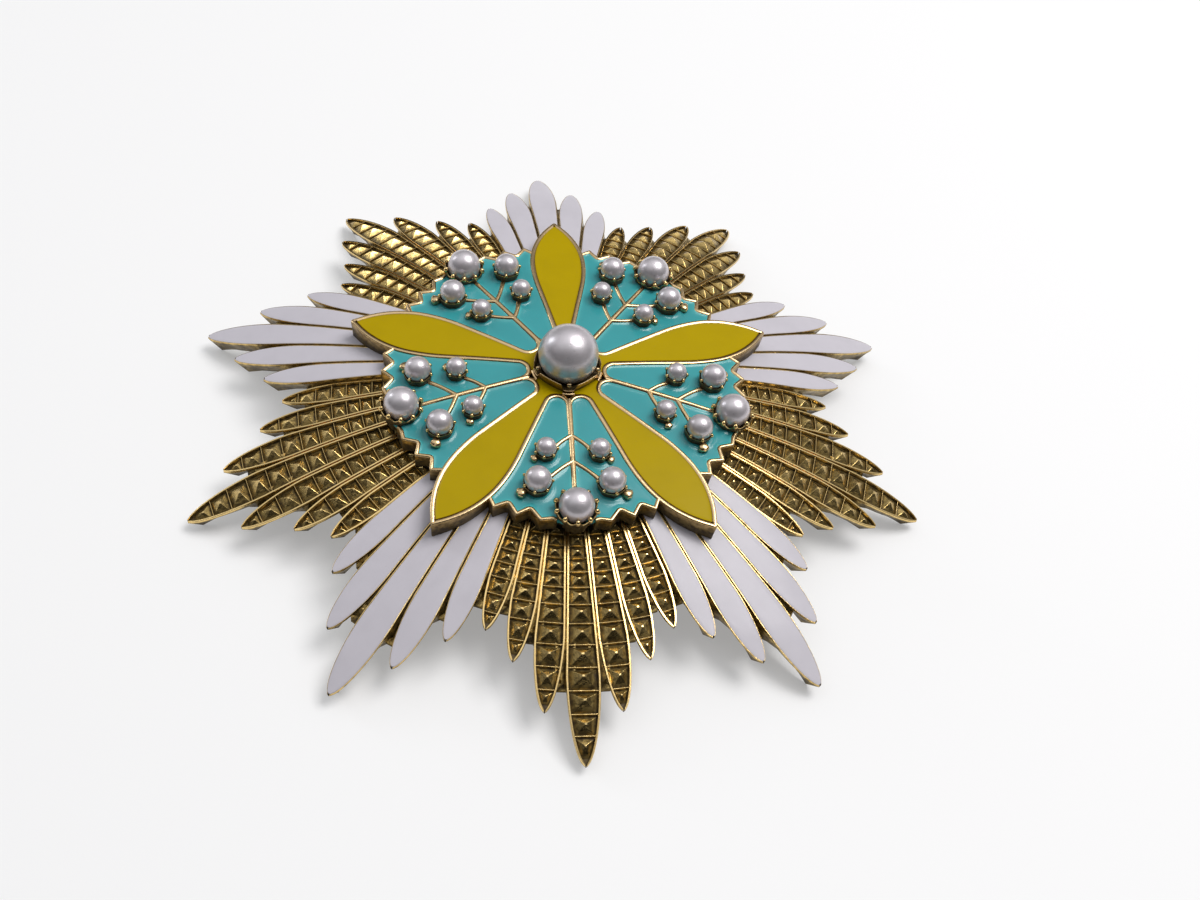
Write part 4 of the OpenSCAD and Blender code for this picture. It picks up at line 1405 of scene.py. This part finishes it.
class STAR_OT_stage(bpy.types.Operator):
    """Makes the pale floor, the soft lights and the camera"""

    bl_idname = "star.stage"
    bl_label = "Stage"

    def execute(self, context):
        self.floor(context)
        self.lights(context)
        self.camera(context)
        return {"FINISHED"}

    @staticmethod
    def floor(context):
        """Pale paper that gives a little light of its own, so that shadows on it stay soft."""
        half = 1.5
        mesh = bpy.data.meshes.new("floor")
        corners = [(-half, -half, 0), (half, -half, 0), (half, half, 0), (-half, half, 0)]
        mesh.from_pydata(corners, [], [(0, 1, 2, 3)])
        material, net = new_material("floor_paper")
        close_material(net, Base_Color=(*context.scene.star_finishes.floor, 1), Roughness=0.9,
                       Emission_Color=(1, 1, 1, 1), Emission_Strength=0.32)
        mesh.materials.append(material)
        floor = bpy.data.objects.new("floor", mesh)
        context.scene.collection.objects.link(floor)

    @staticmethod
    def lights(context):
        """Two lamps that shine at the star's foot, and a room that is bright overhead."""
        def softbox(name, place, size, watts, tint):
            data = bpy.data.lights.new(name, "AREA")
            data.shape = "RECTANGLE"
            data.size, data.size_y = size
            data.energy = watts
            data.color = tint
            light = bpy.data.objects.new(name, data)
            light.location = place
            light.rotation_euler = (-Vector(place)).to_track_quat("-Z", "Y").to_euler()
            context.scene.collection.objects.link(light)

        softbox("key_softbox", place=(0.25, 0.086, 0.54), size=(0.3, 0.3), watts=2.4, tint=(1, 0.98, 0.96))
        softbox("window", place=(-0.47, 0.32, 0.2), size=(0.12, 0.2), watts=0.35, tint=(0.92, 0.96, 1))
        world = bpy.data.worlds.new("studio")
        context.scene.world = world
        world.use_nodes = True
        world.node_tree.nodes.clear()
        net = Net(world.node_tree)
        way = net.node("ShaderNodeSeparateXYZ", {}, net.node("ShaderNodeTexCoord").out("Generated"))
        ahead = (way.out("Y") * 1.7 + 1.0).clamp()
        overhead = (way.out("Z") * 1.65 - 0.48).clamp() ** 1.3
        sides = (way.out("X") * way.out("X") * way.out("Y") * 3 - 0.3).clamp() * 0.6
        dimmest = 0.025
        strength = overhead * ahead + sides + dimmest
        lit = net.node("ShaderNodeBackground", {}, (0.97, 0.98, 1.0, 1), strength)
        net.node("ShaderNodeOutputWorld", {}, lit)
        context.scene.view_settings.view_transform = "Standard"

    @staticmethod
    def camera(context):
        """The camera that was fitted to the rims of the star's tips, a plate's thickness up."""
        s = Sizes()
        data = bpy.data.cameras.new("camera")
        data.sensor_width = 36
        data.lens = FOCAL_PX * data.sensor_width / PHOTO_W_PX
        data.clip_start = 0.01
        camera = bpy.data.objects.new("camera", data)
        turn_x, turn_y, turn_z = (Matrix.Rotation(a, 4, axis) for a, axis in zip(STAR_TURN, "XYZ"))
        turn = turn_x @ turn_y @ turn_z
        shift = Matrix.Translation(Vector(STAR_BEFORE_CAMERA) * s.star_r * MM)
        lower = Matrix.Translation((0, 0, -s.plate_t * MM))
        camera.matrix_world = (shift @ turn @ lower).inverted()
        context.scene.collection.objects.link(camera)
        context.scene.camera = camera


OPERATORS = (STAR_OT_gold_rays, STAR_OT_white_rays, STAR_OT_white_enamel, STAR_OT_medallion,
             STAR_OT_medallion_enamel, STAR_OT_cups, STAR_OT_pearls, STAR_OT_pin, STAR_OT_stage)


class STAR_PT_panel(bpy.types.Panel):
    """Lists the star's pieces and sizes in the sidebar"""

    bl_idname = "STAR_PT_panel"
    bl_label = "Breast Star"
    bl_space_type = "VIEW_3D"
    bl_region_type = "UI"
    bl_category = "Star"

    def draw(self, context):
        for operator in OPERATORS:
            self.layout.operator(operator.bl_idname)
        for group in (context.scene.star_sizes, context.scene.star_finishes):
            for name in group.__annotations__:
                self.layout.prop(group, name)


CLASSES = (StarSizes, StarFinishes, *OPERATORS, STAR_PT_panel)


def register():
    for cls in CLASSES:
        bpy.utils.register_class(cls)
    bpy.types.Scene.star_sizes = PointerProperty(type=StarSizes)
    bpy.types.Scene.star_finishes = PointerProperty(type=StarFinishes)


def unregister():
    del bpy.types.Scene.star_finishes
    del bpy.types.Scene.star_sizes
    for cls in reversed(CLASSES):
        bpy.utils.unregister_class(cls)


def main():
    """Builds every piece."""
    register()
    for operator in OPERATORS:
        getattr(bpy.ops.star, operator.bl_idname.split(".")[1])()


if __name__ == "__main__":
    main()
